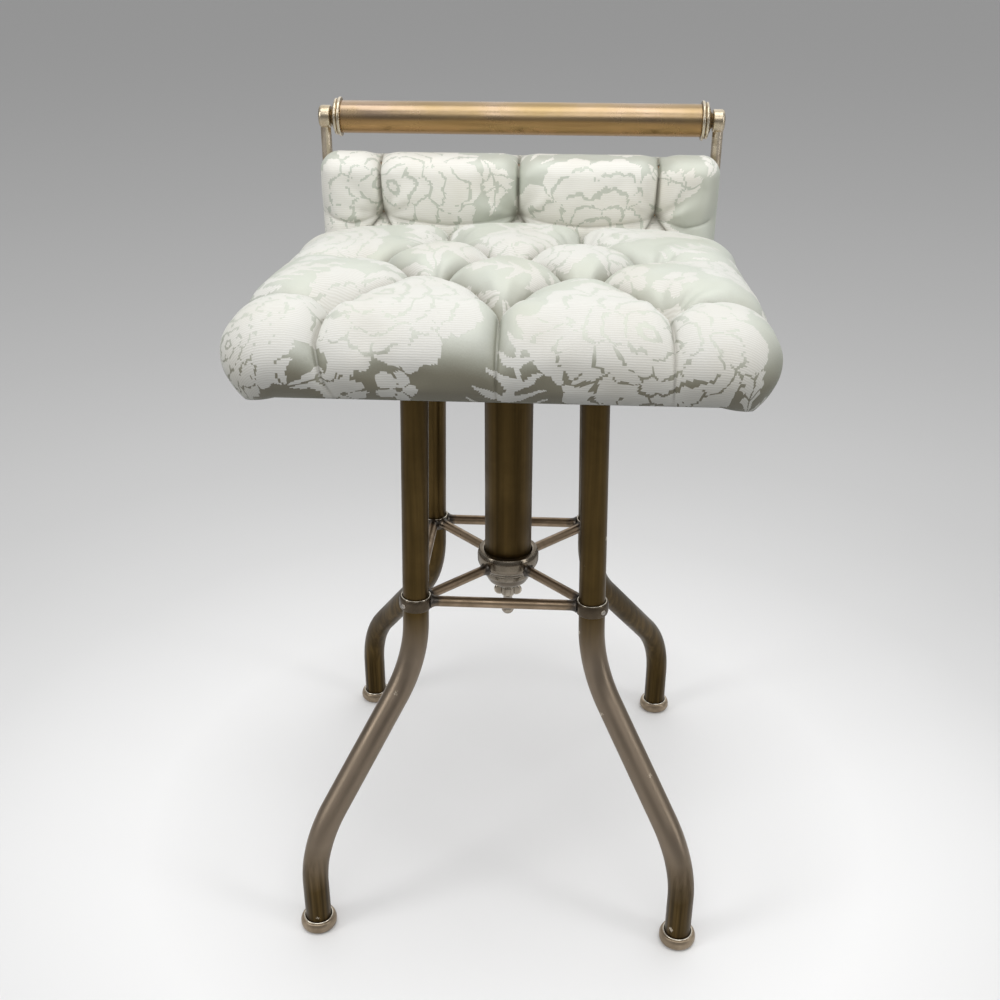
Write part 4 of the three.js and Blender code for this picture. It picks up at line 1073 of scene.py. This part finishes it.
fern_group, place, woven = new_motif("fern")
beside_stalk, up_stalk, _ = axes(place)
side = size_of(times_plus(times(up_stalk, up_stalk), -0.22, beside_stalk))
taper = times_plus(up_stalk, -0.24, 0.30)
on_stalk = both(less_than(0.0, up_stalk), less_than(up_stalk, 1.0))
leaflet = fraction(divided(times_plus(side, -0.9, up_stalk), 0.17))
thickness = times_plus(divided(side, taper), -0.5, 0.62)
leaflets = both(less_than(leaflet, thickness), less_than(side, taper))
feed(both(on_stalk, either(leaflets, less_than(side, 0.022))), woven)
motif_groups = (bloom_group, flower_group, leaf_group, fern_group)
print("nodes in each motif:", [len(group.nodes) for group in motif_groups])

# %% Weave the cloth
damask_group, group_in, group_out = new_group(
    "damask_weave", [("Place", "vector")], [("Motif", "value"), ("Height", "value"), ("Yarn", "value")])
place = group_in.outputs["Place"]
across_cloth, along_cloth, _ = axes(place)
column = whole(divided(across_cloth, repeat_width))
dropped = times_plus(column, -repeat_height / 2, along_cloth)
row = whole(divided(dropped, repeat_height))
in_repeat = place_at(times_plus(column, -repeat_width, across_cloth),
                     times_plus(row, -repeat_height, dropped))
drift = vector_maths("SUBTRACT", noise_node(place, 26.0, output="Color"), (0.5, 0.5, 0.5))
drawn = vector_maths("ADD", in_repeat, vector_maths("MULTIPLY", drift, (0.03, 0.03, 0.0)))
drawn = vector_maths("SNAP", drawn, (thread_width, thread_height, 1.0))
motif_mask = use_group(bloom_group, {"Place": nearest_spot(drawn, blooms)}).outputs["Woven"]
for group, spots in ((flower_group, flower_pairs), (leaf_group, sprigs), (fern_group, ferns)):
    nearest = nearest_spot(held_back(drawn, motif_mask), spots)
    motif_mask = either(motif_mask, use_group(group, {"Place": nearest}).outputs["Woven"])
for x, y, turn, radius, sweep in stems:
    nearest = nearest_spot(held_back(drawn, motif_mask), [(x, y, turn, radius)])
    away, angle = polar(nearest)[:2]
    line = both(less_than(size_of(minus(away, 1.0)), stem_width / radius),
                less_than(size_of(angle), sweep))
    motif_mask = either(motif_mask, line)
waver = noise_node(place, 240.0)
rib = sine(times_plus(waver, 4.0, times(along_cloth, 2 * math.pi / rib_pitch)))
twill = sine(times_plus(waver, 2.0, times(plus(across_cloth, along_cloth), 2 * math.pi / twill_pitch)))
yarn = plus(times(motif_mask, rib), times(without(twill, motif_mask), 0.5))
height = times_plus(yarn, 0.25, times(motif_mask, 0.8))
for name, value in (("Motif", motif_mask), ("Height", height), ("Yarn", yarn)):
    feed(value, group_out.inputs[name])
print("weave:", len(damask_group.nodes), "nodes")

# %% Mix the cloth
def woven_damask(name, painted_light_boost, rib_shadow, rib_light):
    """The cloth. Its ground is painted paler where it faces up, standing in for the light on satin,
    and the second argument raises that painted light all over.
    """
    material, tree, shader = new_material(name)
    place = add_node(tree, "ShaderNodeUVMap", uv_map="cloth").outputs["UV"]
    weave = use_group(damask_group, {"Place": place}).outputs
    mottle, blotches = noise_node(place, 900.0), noise_node(place, 14.0, 3.0)
    facing = axes(add_node(tree, "ShaderNodeNewGeometry").outputs["Normal"])[2]
    # Painted light: the sage ground is paler the more it faces up.
    painted_top_light = plus(times_plus(blotches, 0.5, facing), painted_light_boost - 0.25)
    sage = ramp(remap(times_plus(mottle, 0.16, painted_top_light), -0.6, 1.1, 0.0, 1.0),
                [(0.10, (0.155, 0.140, 0.098)), (0.34, (0.235, 0.220, 0.162)),
                 (0.55, (0.37, 0.37, 0.305)), (0.76, (0.545, 0.56, 0.50)),
                 (0.95, (0.625, 0.65, 0.575))])
    ivory = mix_colour(remap(weave["Yarn"], -1.0, 1.0, 0.0, 1.0), rib_shadow, rib_light)
    tone = mix_colour(weave["Motif"], sage, ivory)
    # Painted shade in the folds and round the tufts, read from the cloth's points.
    fold_shade = add_node(tree, "ShaderNodeAttribute", attribute_name="painted_fold_shade").outputs["Fac"]
    tone = mix_colour(times(fold_shade, 0.75), tone, (0.20, 0.17, 0.115))
    worn = remap(blotches, 0.45, 0.75, 0.0, 0.30)
    feed(mix_colour(worn, tone, (0.80, 0.74, 0.62), blend="MULTIPLY"), shader.inputs["Base Color"])
    feed(remap(weave["Motif"], 0.0, 1.0, 0.50, 0.72), shader.inputs["Roughness"])
    feed(remap(weave["Motif"], 0.0, 1.0, 0.18, 0.0), shader.inputs["Metallic"])
    feed(bump_node(weave["Height"], 0.45, 0.0003), shader.inputs["Normal"])
    shader.inputs["Sheen Weight"].default_value = 0.2
    shader.inputs["Sheen Roughness"].default_value = 0.45
    shader.inputs["Sheen Tint"].default_value = (0.86, 1.0, 0.93, 1)
    return material


# The back's copy is painted paler than the seat's, in its sage ground and in its ivory, standing in for
# the light on the upright pad.
seat_damask = woven_damask("seat_damask", 0.0, rib_shadow=(0.67, 0.66, 0.61),
                           rib_light=(0.745, 0.738, 0.70))
paler_painted_back_damask = woven_damask("paler_painted_back_damask", 1.35, rib_shadow=(0.83, 0.815, 0.75),
                           rib_light=(0.89, 0.88, 0.83))
print("damasks:", seat_damask.name, paler_painted_back_damask.name)

# %% [markdown]
# ## Tufted cushions
# The seat and the back are deep buttoned, but with no button showing: twine pulls the cloth down
# at each tuft, and a sharp fold runs from tuft to tuft, so the stuffing stands up as pillows.
# The cloth is laid out flat first. Its middle stays flat, and what hangs over rolls down round the
# edges. Every point of the flat cloth then gets a place on that form, and is pressed in along
# its normal by the folds and tufts near it. Sculpting by hand could do this too, but this way
# the flat layout doubles as the unwrap, and the woven pattern lies on the cushion as real cloth.


# %% The form under the cloth
class RolledForm:
    """Where each point (u, v) of the flat cloth goes: a crowned top that rolls down at its edges."""

    def __init__(self, flat, roll_reach, roll_depth, draw_in, crown, droop, fall):
        self.flat, self.crown, self.droop, self.fall = np.array(flat), crown, droop, fall
        turns = np.linspace(math.pi / 2, -0.22 * math.pi, 400)
        self.out = roll_reach * np.cos(turns)
        self.height = draw_in + roll_depth * np.sin(turns)
        steps = np.hypot(np.diff(self.out), np.diff(self.height))
        self.run = np.concatenate([[0], np.cumsum(steps)])
        self.hang = self.run[-1]

    def place(self, u, v):
        near_u = np.clip(u, -self.flat[0], self.flat[0])
        near_v = np.clip(v, -self.flat[1], self.flat[1])
        over_u, over_v = u - near_u, v - near_v
        over = np.hypot(over_u, over_v)
        safe = np.maximum(over, 1e-9)
        out = np.interp(over, self.run, self.out) / safe
        x, y = near_u + over_u * out, near_v + over_v * out
        full = self.flat + self.out.max()
        dome = self.crown * (1 - (x / full[0]) ** 2) * (1 - (y / full[1]) ** 2)
        corner = np.minimum(np.abs(over_u), np.abs(over_v)) / self.hang
        lift = np.interp(over, self.run, self.height)
        share = np.clip(lift / self.height[0], 0, 1)
        at_back = np.clip((y + 0.4 * full[1]) / full[1], 0, 1)
        back_fall = self.fall * at_back * (1 + 0.6 * (x / full[0]) ** 2)
        height = lift + (dome - back_fall) * share - self.droop * corner * (1 - share)
        return np.stack([x, y, height], axis=-1)

    def normal(self, u, v, step=2e-4):
        across = self.place(u + step, v) - self.place(u - step, v)
        along = self.place(u, v + step) - self.place(u, v - step)
        normal = np.cross(across, along)
        return normal / np.maximum(np.linalg.norm(normal, axis=-1, keepdims=True), 1e-12)


def distance_to(u, v, line):
    """Distance to a chain of points in the flat cloth, and how far along the chain, from 0 to 1."""
    best = np.full(u.shape, 1e9)
    share = np.zeros(u.shape)
    for i, (start, end) in enumerate(zip(line, line[1:])):
        (a, b), (c, d) = start, end
        length = (c - a) ** 2 + (d - b) ** 2
        t = np.clip(((u - a) * (c - a) + (v - b) * (d - b)) / length, 0, 1)
        gap = np.hypot(u - a - t * (c - a), v - b - t * (d - b))
        share = np.where(gap < best, (i + t) / (len(line) - 1), share)
        best = np.minimum(best, gap)
    return best, share


# %% Lay out the flat cloth
def walk(line, step):
    points = []
    for (a, b), (c, d) in zip(line, line[1:]):
        count = max(1, round(math.hypot(c - a, d - b) / step))
        points += [(a + (c - a) * i / count, b + (d - b) * i / count) for i in range(count)]
    return points + [line[-1]]


def beside(line, offset):
    """The same chain, moved sideways."""
    moved_line = []
    for i, (a, b) in enumerate(line):
        (c, d), (e, f) = line[max(i - 1, 0)], line[min(i + 1, len(line) - 1)]
        run = math.hypot(e - c, f - d)
        moved_line.append((a - (f - d) / run * offset, b + (e - c) / run * offset))
    return moved_line


def thin_out(points, taken, gap):
    """Keeps the points that are further than gap from every taken one, using a coarse table."""
    table = {}
    for a, b in taken:
        table.setdefault((int(a // gap), int(b // gap)), []).append((a, b))
    kept = []
    for a, b in points:
        column, row = int(a // gap), int(b // gap)
        near = [p for i in (-1, 0, 1) for j in (-1, 0, 1) for p in table.get((column + i, row + j), [])]
        if all((a - c) ** 2 + (b - d) ** 2 > gap * gap for c, d in near):
            kept.append((a, b))
    return kept


def cloth_mesh(form, lines, spacing):
    """Points and triangles of the flat cloth, with rows of points along every fold."""
    half_u, half_v, hang = form.flat[0], form.flat[1], form.hang
    rim = []
    count = round(hang * math.pi / 2 / spacing)
    for (su, sv), first in (((1, 1), 0), ((-1, 1), 1), ((-1, -1), 2), ((1, -1), 3)):
        for i in range(count + 1):
            angle = (first + i / count) * math.pi / 2
            rim.append((su * half_u + hang * math.cos(angle), sv * half_v + hang * math.sin(angle)))
    rim = walk(rim + rim[:1], spacing)[:-1]

    def inside(a, b):
        over = math.hypot(max(abs(a) - half_u, 0), max(abs(b) - half_v, 0))
        return over < hang - spacing * 0.6

    rows = []
    for line in lines:
        for offset in (0, 0.0011, -0.0011, 0.0025, -0.0025):
            fresh = [p for p in walk(beside(line, offset) if offset else line, 0.002) if inside(*p)]
            rows += thin_out(fresh, rows, 0.0009)
    step_v = spacing * math.sqrt(3) / 2
    grid = [(spacing * (i + 0.5 * (j % 2)), step_v * j)
            for j in range(-round((half_v + hang) / step_v) - 1, round((half_v + hang) / step_v) + 2)
            for i in range(-round((half_u + hang) / spacing) - 1, round((half_u + hang) / spacing) + 2)]
    grid = thin_out([p for p in grid if inside(*p)], rows, spacing * 0.7)
    flat_points = rim + rows + grid
    result = geometry.delaunay_2d_cdt(
        [Vector(p) for p in flat_points], [], [list(range(len(rim)))], 1, 1e-7)
    return np.array([tuple(p) for p in result[0]]), [tuple(f) for f in result[2]], len(rim)


# %% Press the folds and tufts in
def pillow(share):
    """The round side of a pillow: upright at the fold, level where share reaches 1."""
    return np.sqrt(np.clip(1 - (1 - np.clip(share, 0, 1)) ** 2, 0, 1))


def pressed(u, v, folds, pleats, tufts, depth, reach, tuft_depth, tuft_reach):
    """How far in each point of the cloth is pulled, and how much painted shade it gets near folds and
    tufts, from 0 to 1.
    """
    standing = np.ones(u.shape)
    slit, shadow = np.zeros(u.shape), np.zeros(u.shape)
    for line in folds:
        away = distance_to(u, v, line)[0]
        standing *= pillow(away / reach)
        slit = np.maximum(slit, np.exp(-(away / 0.0017) ** 2))
        shadow = np.maximum(shadow, 0.42 * np.exp(-(away / 0.0065) ** 2))
    for line, width, strong, weak in pleats:
        away, along = distance_to(u, v, line)
        strength = strong + (weak - strong) * np.minimum(1, along * 1.3)
        standing *= 1 - strength * (1 - pillow(away / width))
        slit = np.maximum(slit, np.exp(-(away / 0.0015) ** 2) * np.clip(strength * 1.4 - 0.25, 0, 1))
    pull = depth * (1 - standing) + 0.0026 * slit
    shade = np.maximum(0.8 * slit, shadow)
    for number, (a, b) in enumerate(tufts):
        away = np.hypot(u - a, v - b)
        pull += tuft_depth * np.exp(-(away / tuft_reach) ** 1.3)
        shade = np.maximum(shade, np.exp(-(away / 0.0055) ** 2))
        near = away < 0.05
        ripple = np.array([noise.noise(Vector((2.6 * math.cos(t), 2.6 * math.sin(t), 7.3 * number)))
                           for t in np.arctan2(v - b, u - a)[near]])
        share = away[near] / 0.016
        pull[near] += 0.0042 * ripple * share ** 2 * np.exp(2 - 2 * share)
    return pull, shade


# %% Let the stuffing push the cloth out
def evened(values, edges, hold, rounds=10):
    """Averages each point's move with its neighbours', so the cloth keeps no fine lumps."""
    start, end = edges[:, 0], edges[:, 1]
    shared = np.bincount(edges.ravel(), minlength=len(values))[:, None]
    for _ in range(rounds):
        total = np.zeros_like(values)
        np.add.at(total, start, values[end])
        np.add.at(total, end, values[start])
        values = (0.4 * values + 0.6 * total / np.maximum(shared, 1)) * (1 - hold[:, None])
    return values


def stuffed(points, faces, hold, spare, most):
    """Blows the cloth up between the places where it is held. No point may move further than most."""
    mesh = bpy.data.meshes.new("cloth")
    mesh.from_pydata([tuple(p) for p in points], [], faces)
    cloth = add_object("cloth", mesh)
    held = cloth.vertex_groups.new(name="held")
    for step in range(1, 11):
        held.add([int(i) for i in np.flatnonzero(np.ceil(hold * 10) == step)], step / 10, "REPLACE")
    settings = cloth.modifiers.new("stuffing", "CLOTH").settings
    settings.vertex_group_mass = "held"
    settings.quality, settings.mass = 5, 0.25
    settings.tension_stiffness = settings.compression_stiffness = 18
    settings.shear_stiffness, settings.bending_stiffness = 8, 0.6
    settings.use_pressure, settings.uniform_pressure_force = True, 4.0
    settings.shrink_min = -spare
    settings.effector_weights.gravity = 0
    scene = bpy.context.scene
    for frame_number in range(1, 21):
        scene.frame_set(frame_number)
    ready = cloth.evaluated_get(bpy.context.evaluated_depsgraph_get()).data
    after = np.zeros(3 * len(points))
    ready.vertices.foreach_get("co", after)
    scene.frame_set(1)
    edges = np.zeros(2 * len(mesh.edges), dtype=int)
    mesh.edges.foreach_get("vertices", edges)
    bpy.data.objects.remove(cloth)
    moved_by = evened(after.reshape(-1, 3) - points, edges.reshape(-1, 2), hold)
    length = np.linalg.norm(moved_by, axis=1, keepdims=True)
    print("stuffed: moved", round(1000 * length.mean(), 2), "mm, at most",
          round(1000 * length.max(), 2))
    return points + moved_by * np.minimum(1, most / np.maximum(length, 1e-9))


def cushion_shape(form, folds, pleats, tufts, spacing, spare, most, **press):
    lines = folds + [pleat[0] for pleat in pleats]
    flat, faces, rim = cloth_mesh(form, lines, spacing)
    u, v = flat[:, 0], flat[:, 1]
    over = np.hypot(np.maximum(np.abs(u) - form.flat[0], 0), np.maximum(np.abs(v) - form.flat[1], 0))
    pull, shade = pressed(u, v, folds, pleats, tufts, **press)
    pull *= 1 - (over / form.hang) ** 4
    points = form.place(u, v) - form.normal(u, v) * pull[:, None]
    hold = np.clip((over - 0.82 * form.hang) / (0.12 * form.hang), 0, 1)
    for line in lines:
        hold = np.maximum(hold, np.clip(1 - (distance_to(u, v, line)[0] - 0.0014) / 0.0025, 0, 1))
    for a, b in tufts:
        hold = np.maximum(hold, np.clip(1 - (np.hypot(u - a, v - b) - 0.004) / 0.004, 0, 1))
    return flat, stuffed(points, faces, hold, spare, most), faces, rim, shade


# %% [markdown]
# ## Seat cushion and back pad
# Four rows of tufts, three and two by turns, put the seat's folds on the diagonals. From the
# outer tufts, pleats run down the front, out to the sides and down the back. The back pad has
# one row of three tufts low down, with a pleat from each one up over its top edge.
# Both cushions are cut away where the boards stand in them, as on the frame.

# %% Sizes of the cushions
board_gap = 0.0003
seat_centre_y, seat_under = -0.03065, 0.50665
pad_back, pad_centre_z = 0.1747, 0.5558
seat_form = RolledForm((0.150, 0.12435), 0.0415, 0.034, 0.021, 0.009, 0.008, 0.010)
pad_form = RolledForm((0.1625, 0.0322), 0.017, 0.023, 0.013, 0.004, 0.0, 0.0)

front_row, third_row, back_row = -0.09375, 0.03125, 0.09375
rows = [(front_row, (-0.115, 0, 0.115)), (-0.03125, (-0.0575, 0.0575)),
        (third_row, (-0.115, 0, 0.115)), (back_row, (-0.0575, 0.0575))]
seat_tufts = [(u, v) for v, spots in rows for u in spots]
seat_folds = [[a, b] for a in seat_tufts for b in seat_tufts
              if 0.06 < b[1] - a[1] < 0.065 and abs(abs(b[0] - a[0]) - 0.0575) < 0.001]
print("seat:", len(seat_tufts), "tufts,", len(seat_folds), "folds")

# %% Press and stuff both cushions
# A pleat is its line on the flat cloth, its width, and its strength at the start and at the end.
seat_end, side_end = 0.2093, 0.2350
seat_pleats = [
    ([(-0.115, front_row), (-0.1195, -0.130), (-0.1215, -0.162), (-0.1165, -0.190),
      (-0.1085, -seat_end)], 0.024, 0.85, 0.42),
    ([(0, front_row), (0.0005, -0.15), (0, -seat_end)], 0.021, 0.9, 0.4),
    ([(0.115, front_row), (0.1170, -0.15), (0.1180, -seat_end)], 0.021, 0.85, 0.35),
    ([(-0.0575, back_row), (-0.058, 0.15), (-0.058, seat_end)], 0.022, 0.8, 0.4),
    ([(0.0575, back_row), (0.058, 0.15), (0.058, seat_end)], 0.022, 0.8, 0.4)]
for side in (-1, 1):
    seat_pleats += [([(side * u, v) for u, v in line], 0.030, 0.9, 0.35)
                    for line in (((0.115, front_row), (0.175, -0.086), (side_end, -0.081)),
                                 ((0.115, third_row), (0.175, 0.034), (side_end, 0.037)))]
pad_row, pad_end = -0.00483, 0.0838
pad_tufts = [(u, pad_row) for u in (-0.125, 0, 0.125)]
pad_pleats = [([(u, pad_row), (u, 0.040), (u, pad_end)], 0.021, 1.0, 0.95) for u, _ in pad_tufts]
pad_pleats += [([(a, pad_row), ((a + b) / 2, -0.011), (b, pad_row)], 0.030, 0.28, 0.28)
               for a, b in ((-0.175, -0.125), (-0.125, 0), (0, 0.125), (0.125, 0.175))]
pad_pleats += [([(u, pad_row), (u + lean, -0.040), (u + 1.6 * lean, -pad_end)], 0.020, 0.9, 0.3)
               for u, _ in pad_tufts for lean in (-0.03, 0.03)]

seat_shape = cushion_shape(
    seat_form, seat_folds, seat_pleats, seat_tufts, spacing=0.0028, spare=0.022, most=0.007,
    depth=0.0215, reach=0.038, tuft_depth=0.0145, tuft_reach=0.012)
pad_shape = cushion_shape(
    pad_form, [], pad_pleats, pad_tufts, spacing=0.0026, spare=0.02, most=0.005,
    depth=0.0140, reach=0.03, tuft_depth=0.0100, tuft_reach=0.014)
print("cloth points:", len(seat_shape[0]), len(pad_shape[0]))


# %% Cut room for the boards and place both
def box_piece(low, high):
    """A plain box to cut with."""
    mesh = bpy.data.meshes.new("cutter")
    corners = [(x, y, z) for x in (low[0], high[0]) for y in (low[1], high[1])
               for z in (low[2], high[2])]
    sides = [(0, 1, 3, 2), (4, 6, 7, 5), (0, 4, 5, 1), (2, 3, 7, 6), (0, 2, 6, 4), (1, 5, 7, 3)]
    mesh.from_pydata(corners, [], sides)
    return add_object("cutter", mesh)


def apply_modifiers(piece):
    evaluated = piece.evaluated_get(bpy.context.evaluated_depsgraph_get())
    finished = bpy.data.meshes.new_from_object(evaluated)
    piece.modifiers.clear()
    piece.data = finished


def add_cushion(name, shape, to_world, cutters, node, material, thread_origin):
    """Closes the cloth from below, cuts room for the boards and puts the cushion on the seat."""
    flat, points, faces, rim, shade = shape
    inner = [(x * 0.93, y * 0.90, 0.0) for x, y, z in points[:rim]]
    count = len(points)
    faces = faces + [((i + 1) % rim, i, count + i, count + (i + 1) % rim) for i in range(rim)]
    faces.append(tuple(count + i for i in reversed(range(rim))))
    world_points = [tuple(to_world @ Vector(p)) for p in [*points, *inner]]
    piece = add_piece(name, (world_points, faces), "seat", [node], material, sharp=180)
    spread = np.array([*flat, *flat[:rim] * 0.93]) + np.array(thread_origin)
    layer = piece.data.uv_layers.new(name="cloth")
    corner_points = np.zeros(len(piece.data.loops), dtype=int)
    piece.data.loops.foreach_get("vertex_index", corner_points)
    layer.data.foreach_set("uv", spread[corner_points].ravel())
    # Painted shade for the folds and tufts, kept on the cloth's points.
    depth = piece.data.attributes.new("painted_fold_shade", "FLOAT", "POINT")
    depth.data.foreach_set("value", np.concatenate([shade, np.zeros(rim)]))
    for low, high in cutters:
        cutter = box_piece(low, high)
        cut = piece.modifiers.new("room", "BOOLEAN")
        cut.operation, cut.object, cut.solver = "DIFFERENCE", cutter, "EXACT"
        apply_modifiers(piece)
        bpy.data.objects.remove(cutter)
    return piece


cutters = [([v - board_gap for v in low], [v + board_gap for v in high])
           for low, high in (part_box("seat_board"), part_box("back_board"))]
seat_cushion_piece = add_cushion(
    "seat_upholstery", seat_shape, Matrix.Translation((0, seat_centre_y, seat_under)), cutters,
    "seat_cushion", seat_damask, (0.0, 0.0))
pad_to_world = Matrix.Translation((0, pad_back, pad_centre_z)) @ Matrix.Rotation(math.pi / 2, 4, "X")
back_pad_piece = add_cushion(
    "back_upholstery", pad_shape, pad_to_world, cutters, "back_pad", paler_painted_back_damask, (0.03, 0.31))
print("cushions:", len(seat_cushion_piece.data.polygons), len(back_pad_piece.data.polygons), "faces")

# %% [markdown]
# ## Outside back and tacked edge
# The back board is closed from behind with a flat panel of the same cloth, edged with a thin cord.
# Under the seat the cloth is turned in and tacked to the board, with a slightly uneven edge. It
# stops short of the back corners, where the posts are screwed on.

# %% Panel the outside back
panel_half, panel_low, panel_high, panel_corner = 0.1680, 0.5205, 0.6000, 0.006


def panel_rim(inset):
    """The outline of the panel, seen from behind, as (x, z) points."""
    rim = []
    top, bottom = panel_high - panel_corner, panel_low + panel_corner
    for side, middle_z, first in ((1, top, 0), (-1, top, 1), (-1, bottom, 2), (1, bottom, 3)):
        middle_x = side * (panel_half - panel_corner)
        for i in range(9):
            angle = (first + i / 8) * math.pi / 2
            rim.append((middle_x + (panel_corner - inset) * math.cos(angle),
                        middle_z + (panel_corner - inset) * math.sin(angle)))
    return walk(rim + rim[:1], 0.004)[:-1]


def lining_panel():
    """A thin crowned panel, with its flat side against the board."""
    middle = Vector((0, 0, (panel_low + panel_high) / 2))
    rows = [(1.0, 0.1750), (1.0, 0.1757), (0.985, 0.1762), (0.95, 0.1766), (0.85, 0.1769),
            (0.6, 0.1771), (0.3, 0.1772)]
    rim = panel_rim(0.0012)
    points = [(x * share, y, middle.z + (z - middle.z) * share) for share, y in rows for x, z in rim]
    count, last = len(rim), len(rim) * (len(rows) - 1)
    faces = bands(points, count)
    faces.append(tuple(reversed(range(count))))
    points.append((0, 0.17725, middle.z))
    faces += [(last + i, last + (i + 1) % count, len(points) - 1) for i in range(count)]
    return points, [face[::-1] for face in faces]


def add_cloth(name, shape, material, along, origin, sharp=60):
    """A loose piece of cloth. Its own metres run along X and along one more side, Y or Z."""
    piece = add_piece(name, shape, "seat", [], material, sharp)
    layer = piece.data.uv_layers.new(name="cloth")
    for loop in piece.data.loops:
        spot = piece.data.vertices[loop.vertex_index].co
        layer.data[loop.index].uv = (spot[0] + origin[0], spot[along] + origin[1])


add_cloth("outside_back_panel", lining_panel(), paler_painted_back_damask, 2, (0.02, -0.50))
print("panel", round(2000 * panel_half), "by", round(1000 * (panel_high - panel_low), 1), "mm")

# %% Lay a cord round it
cord_radius = 0.0011
cord_path = [Vector((x, 0.1761, z)) for x, z in panel_rim(0.0)]


def closed_cord(path, radius, sides=10):
    """A cord whose end meets its start."""
    points, faces, count = [], [], len(path)
    for i, centre in enumerate(path):
        way = (path[(i + 1) % count] - path[i - 1]).normalized()
        back = Vector((0, 1, 0))
        up = way.cross(back)
        points += [tuple(centre + (back * x + up * y) * radius) for x, y in spokes(sides)]
    for i in range(count):
        for k in range(sides):
            a, b, ahead = i * sides + k, i * sides + (k + 1) % sides, (i + 1) % count * sides
            faces.append((a, ahead + k, ahead + (k + 1) % sides, b))
    return points, faces


add_cloth("outside_back_piping", closed_cord(cord_path, cord_radius), paler_painted_back_damask, 2, (0.2, 0.1),
          sharp=180)
cord_steps = zip(cord_path, cord_path[1:] + cord_path[:1])
print("cord:", round(sum((after - before).length for before, after in cord_steps), 3), "m")

# %% Turn the cloth down behind the seat cushion
def turned_down_cloth(low_y, high_y, half, low, high, thickness=0.0010, softness=0.0022):
    """One thickness of cloth over the board and down its two ends, where the cushions meet."""
    def arch(grow):
        corner = softness + grow
        path = [(-(half + grow), low)]
        for side in (-1, 1):
            turns = np.linspace(0, math.pi / 2, 5) if side < 0 else np.linspace(math.pi / 2, 0, 5)
            path += [(side * (half - softness + corner * math.cos(a)),
                      high - softness + corner * math.sin(a)) for a in turns]
        return path + [(half + grow, low)]
    outer, inner = arch(thickness), arch(0.0)
    loop = outer + inner[::-1]
    count = len(loop)
    points = [(x, y, z) for y in (low_y, high_y) for x, z in loop]
    faces = bands(points, count)
    for i in range(len(outer) - 1):
        a, b, c, d = i, i + 1, count - 2 - i, count - 1 - i
        faces += [(d, c, b, a), (a + count, b + count, c + count, d + count)]
    return points, faces


tuck_low_y, tuck_high_y, tuck_half = 0.1170, 0.1617, 0.1613
add_cloth("turned_down_cloth",
          turned_down_cloth(tuck_low_y, tuck_high_y, tuck_half, low=0.5062, high=0.5202),
          seat_damask, 1, (0.05, 0.12))
print("turned down over", round(1000 * (tuck_high_y - tuck_low_y), 1), "mm")

# %% Tack the cloth under the board
band_high, band_low = 0.50570, 0.50500
band_path = walk([(-0.1595, 0.110), (-0.1595, -0.1645), (0.1595, -0.1645), (0.1595, 0.110)], 0.006)
tack_outline = [(0, -0.0040), (0.0006, -0.0030), (0.0007, -0.0002)] + [
    (0.0024 * math.cos(a), 0.0010 * math.sin(a)) for a in np.linspace(0, math.pi / 2, 6)]


def turned_in_band(path):
    """A flat strip of cloth round three sides of the board, its inner edge cut by hand."""
    points = []
    for i, (x, y) in enumerate(path):
        (a, b), (c, d) = path[max(i - 1, 0)], path[min(i + 1, len(path) - 1)]
        inwards = Vector((b - d, c - a, 0)).normalized()
        uneven = 0.0010 * noise.noise(Vector((x * 60, y * 60, 0.5)))
        for reach, z in ((-0.0085, band_high), (-0.0085, band_low), (0.0105 + uneven, band_low),
                         (0.0105 + uneven, band_high)):
            points.append((x + inwards.x * reach, y + inwards.y * reach, z))
    return points, capped(points, 4)


add_cloth("turned_in_edge", turned_in_band(band_path), seat_damask, 1, (0.1, 0.2))
tack_spots = [band_path[i] for i in range(2, len(band_path) - 1, 5)]
downwards = Matrix.Rotation(math.pi, 4, "X")
tack = turned(tack_outline, 14)
tacks = [moved(tack, Matrix.Translation((x * 0.985, y * 0.985, band_low)) @ downwards)
         for x, y in tack_spots]
add_piece("cut_tacks", joined(*tacks), "seat", [], steel)
print("tacks:", len(tacks))
